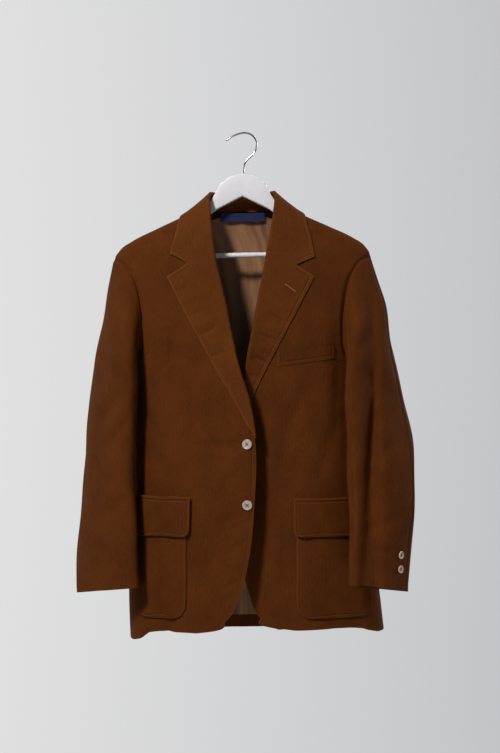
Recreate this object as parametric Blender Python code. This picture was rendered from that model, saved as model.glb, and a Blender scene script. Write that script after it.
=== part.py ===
"""A man's two-button corduroy jacket hung, unfastened, on a flat wooden hanger.

Metres, +Z up. The origin is the point where the inside of the hook bears on its nail, and the
jacket's front faces -Y. Right and left are the wearer's: the right side is at -X. Every cloth
piece is an open wall: a grid of points on the garment's form, given the cloth's thickness.
"""

import math

import bpy
import numpy as np
from mathutils.bvhtree import BVHTree

RIGHT, LEFT = -1, 1
WORDS = {RIGHT: "right", LEFT: "left"}

# Cloth
WALL = 0.002
LAPEL_WALL = 0.0022
LINING_WALL = 0.001
HALF_SEAM = 0.00015
LYING_GAP = 0.0012

# The garment's frame
MIDDLE = -0.004
TILT = 0.018
ARMPIT = -0.430
SHOULDER_TIP = -0.2275
TOP_ROUNDNESS = 2.2
BACK_SQUARENESS = 3.0

# Grid counts
UP_TO_ARMPIT = 12
ARMHOLE_STEPS = 12
TIP_CROWDING = 1.9
HEAD_CROWDING = 1.25
PANEL_ACROSS = 10
SLEEVE_DOWN = 11

# Sections of the body, from below the hem to the shoulder tip: half widths each side of the
# middle, how far the front, the back and the side stand from the hanger's plane, and how
# square the front's section is.
BODY_COLUMNS = ("level", "right", "left", "front", "back", "side", "square")
BODY = (
    (-0.930, 0.207, 0.263, 0.086, 0.048, 0.014, 2.1),
    (-0.850, 0.210, 0.254, 0.086, 0.052, 0.016, 2.1),
    (-0.740, 0.207, 0.239, 0.084, 0.055, 0.016, 2.2),
    (-0.620, 0.203, 0.222, 0.080, 0.058, 0.014, 2.3),
    (-0.520, 0.201, 0.210, 0.076, 0.060, 0.010, 2.3),
    (-0.430, 0.202, 0.203, 0.073, 0.062, 0.006, 2.4),
    (-0.360, 0.206, 0.206, 0.071, 0.062, 0.002, 2.8),
    (-0.290, 0.217, 0.217, 0.070, 0.061, 0.000, 3.2),
    (-0.2275, 0.237, 0.237, 0.069, 0.060, 0.000, 3.0),
)

# The shoulder line: height at a distance from the middle.
SHOULDER_COLUMNS = ("across", "height")
SHOULDER = (
    (0.000, -0.111),
    (0.050, -0.122),
    (0.072, -0.131),
    (0.110, -0.151),
    (0.160, -0.174),
    (0.205, -0.196),
    (0.225, -0.210),
    (0.237, -0.2275),
)

# The armhole seam, from the shoulder tip down to the armpit.
ARMHOLE_COLUMNS = ("across_front", "height_front", "across_back", "height_back")
ARMHOLE = (
    (0.2370, -0.2275, 0.2370, -0.2275),
    (0.2130, -0.2430, 0.2140, -0.2450),
    (0.1960, -0.2720, 0.2000, -0.2750),
    (0.1850, -0.3200, 0.1920, -0.3200),
    (0.1825, -0.3700, 0.1900, -0.3650),
    (0.1880, -0.4080, 0.1930, -0.4050),
    (0.2020, -0.4300, 0.2020, -0.4300),
)

# The inner boundary of each front from its hem to the neck point: the cutaway, the buttoning
# edge, then the line where the lapel folds over.
EDGE_COLUMNS = ("height", "right", "left")
EDGE = (
    (-0.9060, -0.0850, 0.0900),
    (-0.9020, -0.0600, 0.0550),
    (-0.8820, -0.0330, 0.0280),
    (-0.8400, -0.0100, 0.0080),
    (-0.7720, 0.0080, -0.0040),
    (-0.6780, 0.0175, -0.0120),
    (-0.5770, 0.0200, -0.0140),
    (-0.4880, 0.0060, -0.0030),
    (-0.4320, -0.0120, 0.0050),
    (-0.3040, -0.0400, 0.0290),
    (-0.2440, -0.0545, 0.0415),
)

# The lapel's free edge from its tip down to the break.
LAPEL_COLUMNS = ("height", "right", "left")
LAPEL = (
    (-0.552, 0.0130, -0.0120),
    (-0.513, -0.0060, 0.0030),
    (-0.426, -0.0560, 0.0440),
    (-0.343, -0.1020, 0.0870),
    (-0.268, -0.1400, 0.1260),
)
GORGE = -0.2460
BREAK = -0.552
LAPEL_TIP = -0.268
NOTCH_SHARE = 0.6
LAPEL_NOTCH = 0.0125
COLLAR_NOTCH_TURN = 3.4
LAPEL_ROWS = 12
COLLAR_STATIONS = 11
LEAF_COLUMNS = 6
ROLL_COLUMNS = 4
STAND_COLUMNS = 2
ROLL_RISE_TOP = 0.0055
ROLL_RISE_BREAK = 0.0015

# The collar, for one half, from the gorge end to the centre back: the neck seam and the
# fall's free edge as a distance across and a turn over the shoulder (0 front, 90 at the
# shoulder line, 180 back), and the top of the roll as a point.
COLLAR_COLUMNS = (
    "along", "seam_across", "seam_turn", "roll_x", "roll_y", "roll_z", "edge_across", "edge_turn",
)
COLLAR = (
    (0.00, 0.0480, 35.0, 0.0430, -0.0625, -0.2450, 0.1305, 46.7),
    (0.20, 0.0610, 49.5, 0.0520, -0.0560, -0.1930, 0.1250, 55.0),
    (0.40, 0.0705, 65.8, 0.0575, -0.0420, -0.1480, 0.1180, 66.4),
    (0.60, 0.0745, 90.0, 0.0585, -0.0080, -0.1095, 0.1080, 90.0),
    (0.75, 0.0600, 106.9, 0.0500, 0.0170, -0.1050, 0.0850, 112.0),
    (0.88, 0.0300, 114.6, 0.0280, 0.0300, -0.1030, 0.0450, 121.0),
    (1.00, 0.0000, 116.2, 0.0000, 0.0330, -0.1020, 0.0000, 124.0),
)
AT_SHOULDER = 0.60
COLLAR_SEAM_GAP = 0.0008
COLLAR_STAND_OFF = 0.0040
COLLAR_SWAY = 0.0025
COLLAR_ROLL_GORGE = 0.0052
COLLAR_ROLL_NECK = 0.0034

# The sleeves: centre, the two half axes of the section and how far its long axis leans from
# straight across towards front-to-back. Distances are from the middle.
SLEEVE_COLUMNS = ("level", "across", "forward", "long", "short", "lean")
SLEEVES = {
    RIGHT: (
        (-0.2275, 0.2140, 0.000, 0.0500, 0.0245, 88),
        (-0.3080, 0.2190, 0.006, 0.0620, 0.0330, 78),
        (-0.3830, 0.2275, 0.016, 0.0680, 0.0320, 68),
        (-0.4550, 0.2345, 0.024, 0.0712, 0.0305, 60),
        (-0.5800, 0.2420, 0.022, 0.0725, 0.0305, 54),
        (-0.6600, 0.2440, 0.029, 0.0735, 0.0300, 50),
        (-0.7350, 0.2445, 0.031, 0.0760, 0.0300, 48),
        (-0.8300, 0.2425, 0.034, 0.0760, 0.0300, 42),
    ),
    LEFT: (
        (-0.2275, 0.2145, 0.000, 0.0500, 0.0245, 88),
        (-0.3080, 0.2240, 0.010, 0.0620, 0.0350, 74),
        (-0.3910, 0.2330, 0.020, 0.0690, 0.0330, 58),
        (-0.4910, 0.2425, 0.030, 0.0750, 0.0305, 45),
        (-0.5830, 0.2515, 0.042, 0.0750, 0.0305, 36),
        (-0.6610, 0.2528, 0.054, 0.0742, 0.0305, 34),
        (-0.7420, 0.2505, 0.062, 0.0735, 0.0310, 38),
        (-0.8300, 0.2460, 0.070, 0.0700, 0.0310, 42),
    ),
}
CUFF = {RIGHT: -0.838, LEFT: -0.830}
CUFF_OUTER_DROP = 0.008
CUFF_BACK_DROP = 0.009
ARMPIT_FACING = 222
REACH_AT_TIP, REACH_AT_ARMPIT = 0.42, 0.06
HIND_SEAM = {RIGHT: 22, LEFT: 1}
FORE_SEAM = {RIGHT: 9, LEFT: 8}

# Long soft folds of the fronts and sleeves: a line down the cloth, the fold's half width and
# how far it stands forward (a trough is negative).
# Columns: x and z at the top, x and z at the bottom, half width, height.
FRONT_FOLDS = {
    RIGHT: (
        (0.020, -0.360, 0.010, -0.930, 0.085, 0.020),
        (-0.146, -0.640, -0.144, -0.960, 0.013, -0.008),
        (-0.180, -0.640, -0.178, -0.960, 0.030, 0.006),
    ),
    LEFT: (
        (-0.010, -0.360, 0.010, -0.930, 0.070, -0.008),
        (0.090, -0.560, 0.085, -0.940, 0.014, -0.003),
    ),
}
SLEEVE_FOLDS = {
    RIGHT: ((-0.262, -0.300, -0.262, -0.560, 0.020, -0.003),),
    LEFT: (
        (0.237, -0.250, 0.232, -0.500, 0.013, -0.010),
        (0.232, -0.460, 0.213, -0.820, 0.013, -0.010),
    ),
}

# Patch pockets, flaps and the breast welt, as boxes on the front seen flat.
# Columns: inner edge, outer edge at the foot, outer edge at the top, bottom, top, corner.
POCKETS = {
    RIGHT: (-0.104, -0.201, -0.196, -0.884, -0.668, 0.030),
    LEFT: (0.094, 0.236, 0.205, -0.883, -0.670, 0.030),
}
FLAPS = {
    RIGHT: (-0.095, -0.198, -0.195, -0.735, -0.664, 0.014),
    LEFT: (0.089, 0.208, 0.202, -0.736, -0.667, 0.014),
}
POCKET_BULGE = 0.0025
POCKET_STAND = 0.0036
FLAP_STAND = 0.0086
FLAP_SWING = 0.0020
WELT_INNER, WELT_OUTER = 0.060, 0.163
WELT_TOP_INNER, WELT_TOP_OUTER = -0.406, -0.392
WELT_DEPTH = 0.024

# Buttons
FRONT_BUTTON_RADIUS = 0.0094
CUFF_BUTTON_RADIUS = 0.0070
BUTTON_THICKNESS = 0.0034
BUTTON_STAND = 0.0012
FRONT_BUTTON_X = 0.0055
FRONT_BUTTON_HEIGHTS = (-0.569, -0.676)
CUFF_BUTTON_HEIGHTS = (-0.769, -0.794)
CUFF_BUTTON_FACING = {RIGHT: -60.0, LEFT: 33.0}
# A button's turned section from its back round the rim to its dished face: shares of its
# radius and of its thickness.
BUTTON_PROFILE = (
    (0.35, 0.00),
    (0.80, 0.10),
    (1.00, 0.45),
    (0.97, 0.85),
    (0.86, 1.00),
    (0.72, 0.78),
    (0.30, 0.66),
)

# Lining and label
LINING_FIRST_ROW = 2
LINING_END_ROW = 21
LINING_TOP_TURN = 116.5
LABEL_WIDTH, LABEL_HEIGHT = 0.084, 0.015
LABEL_TOP = -0.1425
LABEL_WALL = 0.001
LABEL_GAP = 0.0045
LINING_GAP = 0.0030
PLEAT_HEIGHT = 0.003

# Hanger
HANGER_THICKNESS = 0.013
# The wood's edge for one half. Columns: across, top, bottom.
HANGER = (
    (0.0000, -0.0740, -0.1160),
    (0.0120, -0.0752, -0.1220),
    (0.0230, -0.0790, -0.1275),
    (0.0340, -0.0865, -0.1330),
    (0.0420, -0.0935, -0.1370),
    (0.0475, -0.1020, -0.1400),
    (0.0515, -0.1110, -0.1425),
    (0.0560, -0.1185, -0.1455),
    (0.0640, -0.1290, -0.1510),
    (0.0760, -0.1420, -0.1600),
    (0.1000, -0.1560, -0.1755),
    (0.1500, -0.1800, -0.1990),
    (0.1885, -0.1985, -0.2185),
    (0.1890, -0.1988, -0.2320),
    (0.2080, -0.2090, -0.2330),
    (0.2140, -0.2150, -0.2270),
)
HANGER_CHAMFER = 0.0025
BAR_RADIUS = 0.0046
BAR_LEVEL = -0.2240
BAR_HALF_LENGTH = 0.1882
# The hook's wire, from its free tip over the nail and down to the wood.
WIRE_RADIUS = 0.0018
# Columns: x, z.
HOOK = (
    (-0.0345, -0.0125),
    (-0.0250, -0.0060),
    (-0.0130, -0.0005),
    (0.0000, 0.0018),
    (0.0110, -0.0008),
    (0.0190, -0.0080),
    (0.0222, -0.0190),
    (0.0200, -0.0300),
    (0.0130, -0.0400),
    (0.0050, -0.0475),
    (0.0005, -0.0545),
    (-0.0012, -0.0640),
    (-0.0015, -0.0735),
)

CORDUROY = ("corduroy", (0.107, 0.027, 0.008), 0.85, 0.0)
SATIN = ("lining_satin", (0.190, 0.098, 0.058), 0.45, 0.0)
NAVY_WEAVE = ("label_weave", (0.012, 0.028, 0.115), 0.7, 0.0)
HORN = ("button_resin", (0.580, 0.470, 0.430), 0.35, 0.0)
PAINTED_WOOD = ("painted_wood", (0.850, 0.820, 0.840), 0.4, 0.0)
CHROME = ("chrome", (0.750, 0.750, 0.760), 0.15, 1.0)


def clear_scene():
    for thing in list(bpy.data.objects):
        bpy.data.objects.remove(thing, do_unlink=True)


def finish_of(recipe):
    name, colour, roughness, metallic = recipe
    material = bpy.data.materials.get(name) or bpy.data.materials.new(name)
    material.use_nodes = True
    shader = material.node_tree.nodes["Principled BSDF"]
    shader.inputs["Base Color"].default_value = (*colour, 1.0)
    shader.inputs["Roughness"].default_value = roughness
    shader.inputs["Metallic"].default_value = metallic
    return material


def column(table, columns, name):
    return np.array([row[columns.index(name)] for row in table], float)


def smooth_curve(knots, values, at):
    """Cubic through the values at rising knots, held level past both ends."""
    slopes = np.gradient(values, knots)
    at = np.clip(at, knots[0], knots[-1])
    index = np.clip(np.searchsorted(knots, at, side="right") - 1, 0, len(knots) - 2)
    span = knots[index + 1] - knots[index]
    t = (at - knots[index]) / span
    return (
        (1 + 2 * t) * (1 - t) ** 2 * values[index]
        + t * (1 - t) ** 2 * span * slopes[index]
        + t * t * (3 - 2 * t) * values[index + 1]
        + t * t * (t - 1) * span * slopes[index + 1]
    )


def read(table, columns, name, at):
    """A column of a table at some value of its first column, which may fall or rise."""
    knots = column(table, columns, columns[0])
    values = column(table, columns, name)
    order = np.argsort(knots)
    return smooth_curve(knots[order], values[order], np.asarray(at, float))


def ease(value, start, end):
    t = np.clip((value - start) / (end - start), 0, 1)
    return t * t * (3 - 2 * t)


def smooth_step_between(first, last, share):
    return first + (last - first) * ease(share, 0.0, 0.5)


def unit(vectors):
    return vectors / np.maximum(np.linalg.norm(vectors, axis=-1, keepdims=True), 1e-12)


def dot(first, second):
    return np.sum(first * second, axis=-1, keepdims=True)


def folds(table, x, z):
    """The sum of the long soft folds at a place on the cloth."""
    total = np.zeros(np.broadcast(x, z).shape)
    for x_top, z_top, x_bottom, z_bottom, half_width, height in table:
        share = np.clip((z_top - z) / (z_top - z_bottom), 0, 1)
        off_line = x - (x_top + share * (x_bottom - x_top))
        total = total + height * np.exp(-((off_line / half_width) ** 2)) * ease(z_top - z, 0, 0.09)
    return total


def shoulder_height(across):
    return read(SHOULDER, SHOULDER_COLUMNS, "height", np.abs(across))


def share_up(rise):
    return np.sin(np.radians(rise)) ** (2 / TOP_ROUNDNESS)


def body_row(side, level, rise):
    """Half width, front, back and side distances and squareness of a row of the body."""
    nominal = level + share_up(rise) * (SHOULDER_TIP - ARMPIT)
    width = "right" if side == RIGHT else "left"
    names = (width, "front", "back", "side", "square")
    return [read(BODY, BODY_COLUMNS, name, nominal) for name in names]


def surface(side, across, level, rise):
    """A point of the jacket's outer form.

    across is from the middle towards the side. Below the armpit level gives the height and
    rise is 0 on the front or 180 on the back; above it level is ARMPIT and rise turns over
    the shoulder from 0 through 90 at the shoulder line to 180.
    """
    half_width, front, back, flank, square = body_row(side, level, rise)
    on_back = rise > 90
    square = np.where(on_back, BACK_SQUARENESS, square)
    ratio = np.clip(np.abs(across) / half_width, 0, 1)
    fullness = (1 - ratio**square) ** (1 / square)
    depth = np.where(on_back, flank + (back - flank) * fullness, flank - (front + flank) * fullness)
    closing = np.abs(np.cos(np.radians(rise))) ** (2 / TOP_ROUNDNESS)
    x = MIDDLE + side * across
    z = level + share_up(rise) * (shoulder_height(across) - ARMPIT) + TILT * side * across
    forward = np.where(on_back, 0.0, folds(FRONT_FOLDS[side], x, z) * fullness * closing)
    return np.stack([x, depth * closing - forward, z], axis=-1)


def rise_at(across, height):
    """The level and rise of a place on the front given by its height."""
    up = np.clip((height - ARMPIT) / (shoulder_height(across) - ARMPIT), 0, 1)
    rise = np.degrees(np.arcsin(up ** (TOP_ROUNDNESS / 2)))
    return np.minimum(height, ARMPIT), rise


def front_at(side, x, z):
    """The front's outer surface at a place seen from the front."""
    across = (x - MIDDLE) * side
    level, rise = rise_at(across, z - TILT * side * across)
    return surface(side, across, level, rise)


def spread(side, inner, outer, level, rise, count):
    """Distances across a row, evenly turned round the body's section."""
    half_width, _, _, _, square = body_row(side, level, rise)
    square = np.where(rise > 90, BACK_SQUARENESS, square)
    ends = []
    for end in (inner, outer):
        ratio = np.clip(np.abs(end) / half_width, 0, 1)
        ends.append(np.sign(end) * np.arcsin(ratio ** (square / 2)))
    turn = ends[0] + (ends[1] - ends[0]) * np.linspace(0, 1, count)
    return half_width * np.sign(turn) * np.abs(np.sin(turn)) ** (2 / square)


def grid_normals(points, facing=1):
    """Unit normals of a grid, as rows run along its first axis and columns its second."""
    along = np.gradient(points, axis=0)
    across = np.gradient(points, axis=1)
    normals = np.cross(across, along) * facing
    return normals / np.maximum(np.linalg.norm(normals, axis=-1, keepdims=True), 1e-12)


def softened(normals):
    """Normals evened out between neighbours, so that a tight fold keeps its thickness."""
    for _ in range(2):
        beside = normals.copy()
        beside[:, 1:-1] += (normals[:, 2:] + normals[:, :-2]) / 2
        normals = beside.copy()
        normals[1:-1] += (beside[2:] + beside[:-2]) / 2
        normals = unit(normals)
    return normals


def raised(points, facing, height):
    """The grid's points moved out by a height, one for all or one for each point."""
    return points + grid_normals(points, facing) * np.asarray(height)[..., None]


def pulled_in(points, edges, distance=HALF_SEAM):
    """The grid with the named edges drawn in, which leaves half of a seam's gap."""
    points = points.copy()
    pairs = {"first_row": (0, 1), "last_row": (-1, -2)}
    for edge in edges:
        if edge in pairs:
            end, beside = pairs[edge]
            step = points[beside] - points[end]
            points[end] += step / np.linalg.norm(step, axis=-1, keepdims=True) * distance
        else:
            end, beside = (0, 1) if edge == "first_column" else (-1, -2)
            step = points[:, beside] - points[:, end]
            points[:, end] += step / np.linalg.norm(step, axis=-1, keepdims=True) * distance
    return points


def mesh_object(name, points, faces, finish, crease=40):
    mesh = bpy.data.meshes.new(name)
    mesh.from_pydata([tuple(p) for p in points], [], faces)
    mesh.update()
    mesh.shade_smooth()
    mesh.set_sharp_from_angle(angle=math.radians(crease))
    mesh.materials.append(finish_of(finish))
    thing = bpy.data.objects.new(name, mesh)
    bpy.context.scene.collection.objects.link(thing)
    return thing


def signed_volume(points, faces):
    total = 0.0
    for face in faces:
        for second, third in zip(face[1:-1], face[2:]):
            total += np.dot(points[face[0]], np.cross(points[second], points[third]))
    return total


def halves_of(first, columns):
    """The two triangles of a grid's square, by the index of its first corner."""
    opposite = first + columns + 1
    return (first, first + 1, opposite), (first, opposite, first + columns)


def wall(name, outer, inward, finish, thickness=WALL):
    """A closed wall between a grid and the same grid moved by inward, a unit vector field."""
    rows, columns = outer.shape[:2]
    inner = outer + inward * thickness
    points = np.concatenate([outer.reshape(-1, 3), inner.reshape(-1, 3)])
    behind = rows * columns
    faces = []
    for row in range(rows - 1):
        for col in range(columns - 1):
            for triangle in halves_of(row * columns + col, columns):
                faces.append(triangle)
                faces.append(tuple(behind + corner for corner in reversed(triangle)))
    rim = [col for col in range(columns)]
    rim += [row * columns + columns - 1 for row in range(1, rows)]
    rim += [(rows - 1) * columns + col for col in range(columns - 2, -1, -1)]
    rim += [row * columns for row in range(rows - 2, 0, -1)]
    # Two pieces of one seam split their rims along the same diagonals, so they never cross.
    for here, after in zip(rim, rim[1:] + rim[:1]):
        if points[here, 2] > points[after, 2]:
            faces.append((after, here, behind + after))
            faces.append((here, behind + here, behind + after))
        else:
            faces.append((after, here, behind + here))
            faces.append((after, behind + here, behind + after))
    if signed_volume(points, faces) < 0:
        faces = [tuple(reversed(face)) for face in faces]
    return mesh_object(name, points, faces, finish)


def loft(name, rings, finish, crease=40):
    """A closed solid through rings of the same number of points, with flat ends."""
    rings = np.asarray(rings)
    count, around = rings.shape[:2]
    points = rings.reshape(-1, 3)
    faces = [tuple(range(around)), tuple(reversed(range((count - 1) * around, count * around)))]
    for ring in range(count - 1):
        for here in range(around):
            a = ring * around + here
            b = ring * around + (here + 1) % around
            faces.append((b, a, a + around, b + around))
    if signed_volume(points, faces) < 0:
        faces = [tuple(reversed(face)) for face in faces]
    return mesh_object(name, points, faces, finish, crease)


# ---------------------------------------------------------------- body panels


def armhole(side, face):
    """The armhole's places from the armpit up to the shoulder tip: across, level and rise."""
    across = column(ARMHOLE, ARMHOLE_COLUMNS, "across_" + face)
    height = column(ARMHOLE, ARMHOLE_COLUMNS, "height_" + face)
    length = np.append(0, np.cumsum(np.hypot(np.diff(across), np.diff(height))))
    stops = length[-1] * np.linspace(1, 0, ARMHOLE_STEPS + 1) ** TIP_CROWDING
    across = smooth_curve(length, across, stops)
    height = smooth_curve(length, height, stops)
    _, rise = rise_at(across, height)
    rise[0], rise[-1] = 0.0, 90.0
    at_armpit, _, _, _, _ = body_row(side, ARMPIT, 0.0)
    across[0] = at_armpit
    return across, rise if face == "front" else 180 - rise


def hem_height(face, share):
    """The hem drops from the centre front to the side and runs level round the back."""
    if face == "back":
        return -0.919
    return -0.906 - 0.013 * ease(share, 0.35, 0.8)


def neck_seam(side, along):
    """The neck seam at shares along the collar's half: distance across and turn over the top."""
    sway = COLLAR_SWAY * (1 - ease(along, 0, AT_SHOULDER)) * side
    return read(COLLAR, COLLAR_COLUMNS, "seam_across", along) - sway, read(
        COLLAR, COLLAR_COLUMNS, "seam_turn", along
    )


def front_inner(side, height):
    """The front's inner boundary: its edge and roll line, then the neck seam."""
    name = "right" if side == RIGHT else "left"
    edge = (read(EDGE, EDGE_COLUMNS, name, height) - MIDDLE) * side
    across, turn = neck_seam(side, np.linspace(0, AT_SHOULDER, 13))
    seam_height = surface(side, across, ARMPIT, turn)[:, 2]
    return np.where(height > seam_height[0], np.interp(height, seam_height, across), edge)


def back_inner(side, share):
    """How far the back neck's seam is from the middle at a share of the way up the back."""
    across, turn = neck_seam(side, np.linspace(1, AT_SHOULDER, 13))
    return np.interp(share, share_up(turn), across, left=0.0)


def front_grid(side):
    shares = (np.arange(UP_TO_ARMPIT) / UP_TO_ARMPIT) ** 1.7
    across_shares = np.linspace(0, 1, PANEL_ACROSS)
    rows = []
    for share in shares:
        level = hem_height("front", across_shares) * (1 - share) + ARMPIT * share
        width, _, _, _, _ = body_row(side, level[-1], 0.0)
        inner = front_inner(side, level[0])
        across = spread(side, inner, width, level, 0.0, PANEL_ACROSS)
        rows.append(surface(side, across, level, np.zeros(PANEL_ACROSS)))
    for outer, rise in zip(*armhole(side, "front")):
        inner = 0.07
        for _ in range(12):
            height = ARMPIT + share_up(rise) * (shoulder_height(inner) - ARMPIT)
            inner = front_inner(side, height + TILT * side * inner)
        across = spread(side, inner, outer, ARMPIT, rise, PANEL_ACROSS)
        rows.append(surface(side, across, ARMPIT, np.full(PANEL_ACROSS, rise)))
    return np.array(rows)


def back_grid(side):
    shares = (np.arange(UP_TO_ARMPIT) / UP_TO_ARMPIT) ** 1.7
    rows = []
    for share in shares:
        level = hem_height("back", 0) * (1 - share) + ARMPIT * share
        width, _, _, _, _ = body_row(side, level, 180.0)
        across = spread(side, 0.0, width, level, 180.0, PANEL_ACROSS)
        rows.append(surface(side, across, level, np.full(PANEL_ACROSS, 180.0)))
    for outer, rise in zip(*armhole(side, "back")):
        across = spread(side, back_inner(side, share_up(rise)), outer, ARMPIT, rise, PANEL_ACROSS)
        rows.append(surface(side, across, ARMPIT, np.full(PANEL_ACROSS, rise)))
    return np.array(rows)


# ---------------------------------------------------------------- sleeves


def sleeve_section(side, height, facing):
    """A point of the sleeve's section; facing is 0 outward, 90 forward, 180 to the body."""
    table = SLEEVES[side]
    across, forward, long, short, lean = (
        read(table, SLEEVE_COLUMNS, name, height) for name in SLEEVE_COLUMNS[1:]
    )
    lean = np.radians(lean)
    turn = np.radians(facing) + lean
    out = across + long * np.cos(turn) * np.cos(lean) + short * np.sin(turn) * np.sin(lean)
    deep = -forward + long * np.cos(turn) * np.sin(lean) - short * np.sin(turn) * np.cos(lean)
    x = MIDDLE + side * out
    front_share = np.clip(np.sin(np.radians(facing)) * 2, 0, 1)
    deep = deep - folds(SLEEVE_FOLDS[side], x, height) * front_share
    return np.stack([x, deep, height + 0 * x], axis=-1)


def cuff_height(side, facing):
    turn = np.radians(facing)
    return CUFF[side] - CUFF_OUTER_DROP * np.cos(turn) + CUFF_BACK_DROP * np.sin(turn)


def sleeve_grid(side, front, back):
    """Rows from the armhole down to the cuff; columns start at the shoulder tip, run down
    the front of the armhole, and come up its back to the tip again."""
    head = np.concatenate([front[:-1][::-1], back[1:]])
    head = np.concatenate([back[-1:], head[:-1], head[-1:]])
    down = np.linspace(0, 1, ARMHOLE_STEPS + 1) ** HEAD_CROWDING
    to_armpit = np.concatenate([down, down[-2::-1]])
    facing = ARMPIT_FACING * to_armpit
    facing[ARMHOLE_STEPS:] = 360 - (360 - ARMPIT_FACING) * to_armpit[ARMHOLE_STEPS:]
    foot_height = cuff_height(side, facing)
    shares = (np.arange(SLEEVE_DOWN + 1) / SLEEVE_DOWN) ** 1.25
    reach = REACH_AT_TIP + (REACH_AT_ARMPIT - REACH_AT_TIP) * to_armpit
    gap = sleeve_section(side, head[:, 2], facing) - head
    rows = []
    for share in shares:
        height = head[:, 2] + share * (foot_height - head[:, 2])
        fading = np.clip(1 - share / reach, 0, 1) ** 2
        rows.append(sleeve_section(side, height, facing) - gap * fading[..., None])
    return np.array(rows)


# ---------------------------------------------------------------- collar and lapels


def corner(share):
    """A tent that is 1 at the notch's inner corner and 0 at both ends."""
    return np.where(share < NOTCH_SHARE, share / NOTCH_SHARE, (1 - share) / (1 - NOTCH_SHARE))


def lapel_grid(side):
    """The lapel from the gorge down to the break; columns go round the roll, then outward."""
    name = "right" if side == RIGHT else "left"
    down = np.linspace(0, 0.985, LAPEL_ROWS)[:, None]
    out = np.linspace(0, 1, LEAF_COLUMNS)[None, :]
    roll_z = GORGE + down * (BREAK - GORGE)
    edge_z = LAPEL_TIP + down * (BREAK - LAPEL_TIP)
    roll_x = read(EDGE, EDGE_COLUMNS, name, roll_z)
    edge_x = read(LAPEL, LAPEL_COLUMNS, name, edge_z)
    x = roll_x + out * (edge_x - roll_x)
    z = roll_z + out * (edge_z - roll_z)
    z = z + LAPEL_NOTCH * corner(out) * np.clip(1 - down / 0.14, 0, 1)
    base = front_at(side, x, z)
    normals = grid_normals(base, -side)
    rise = ROLL_RISE_TOP + down * (ROLL_RISE_BREAK - ROLL_RISE_TOP)
    stand = LAPEL_WALL + LYING_GAP + rise * (1 - out) ** 1.5
    face = base + normals * stand[..., None]
    inward = base[:, :1] - base[:, 1:2]
    inward = inward / np.linalg.norm(inward, axis=-1, keepdims=True)
    radius = (WALL + stand[:, :1, None]) / 2
    centre = base[:, :1] + normals[:, :1] * (radius - WALL) + inward * 2 * HALF_SEAM
    turn = np.radians(np.linspace(0, 180, ROLL_COLUMNS + 1))[None, :-1, None]
    roll = centre + radius * (inward * np.sin(turn) - normals[:, :1] * np.cos(turn))
    grid = np.concatenate([roll, face], axis=1)
    grid_facing = grid_normals(grid, -side)
    grid_facing[:, 0] = -normals[:, 0]
    return grid, grid_facing


def collar_grid():
    """The collar from the right gorge round the back neck to the left gorge; columns go up
    the stand on the neck's side, over the roll and down the fall."""
    along = np.linspace(0, 1, COLLAR_STATIONS)
    out = np.linspace(0, 1, LEAF_COLUMNS)[None, :]
    halves = []
    for side in (RIGHT, LEFT):
        _, _, roll_x, roll_y, roll_z, edge_across, edge_turn = (
            read(COLLAR, COLLAR_COLUMNS, name, along)[:, None] for name in COLLAR_COLUMNS[1:]
        )
        seam_across, seam_turn = (values[:, None] for values in neck_seam(side, along))
        roll_x = roll_x - COLLAR_SWAY * (1 - ease(along[:, None], 0, AT_SHOULDER)) * side
        across = seam_across + out * (edge_across - seam_across)
        over = seam_turn + out * (edge_turn - seam_turn)
        over = over - COLLAR_NOTCH_TURN * corner(out) * np.clip(1 - along[:, None] / 0.16, 0, 1)
        leaning = roll_z + TILT * side * roll_x
        roll = np.concatenate([MIDDLE + side * roll_x, roll_y, leaning], axis=1)
        halves.append((surface(side, across, ARMPIT, over), roll))
    base = np.concatenate([halves[0][0], halves[1][0][::-1][1:]])
    roll = np.concatenate([halves[0][1], halves[1][1][::-1][1:]])
    there_and_back = np.concatenate([along, along[::-1][1:]])[:, None]
    radius = smooth_step_between(COLLAR_ROLL_GORGE, COLLAR_ROLL_NECK, there_and_back)
    normals = grid_normals(base, -1)
    seam = base[:, 0]
    outward = unit(base[:, 1] - seam)
    apex = unit(roll - seam)
    beside = unit(outward - apex * dot(outward, apex))
    centre = roll - apex * radius
    leaf = base + normals * COLLAR_STAND_OFF
    start = centre + beside * radius
    leaf = leaf + (start - leaf[:, 0])[:, None] * (1 - out[..., None]) ** 1.6
    turn = np.radians(np.linspace(180, 0, ROLL_COLUMNS + 1))[None, :-1, None]
    around = beside[:, None] * np.cos(turn) + apex[:, None] * np.sin(turn)
    arc = centre[:, None] + around * radius[:, None]
    leaning_over = np.sqrt(np.maximum(0, 1 - dot(outward, apex) ** 2))
    foot = seam - normals[:, 0] * WALL - outward * (COLLAR_SEAM_GAP + WALL * leaning_over)
    up = np.linspace(0, 1, STAND_COLUMNS + 1)[None, :-1, None]
    stand = foot[:, None] + (arc[:, :1] - foot[:, None]) * up
    return np.concatenate([stand, arc, leaf], axis=1)


# ---------------------------------------------------------------- pieces on the fronts


def landed(front, x, z):
    """Points of the front's own faces straight behind places seen from the front."""
    rows, columns = front.shape[:2]
    faces = []
    for row in range(rows - 1):
        for col in range(columns - 1):
            faces.extend(halves_of(row * columns + col, columns))
    tree = BVHTree.FromPolygons([tuple(p) for p in front.reshape(-1, 3)], faces)
    points = []
    for x_, z_ in zip(x.ravel(), z.ravel()):
        place, _, _, _ = tree.ray_cast((x_, -1.0, z_), (0.0, 1.0, 0.0))
        points.append(tuple(place))
    return np.array(points).reshape(*x.shape, 3)


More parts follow.
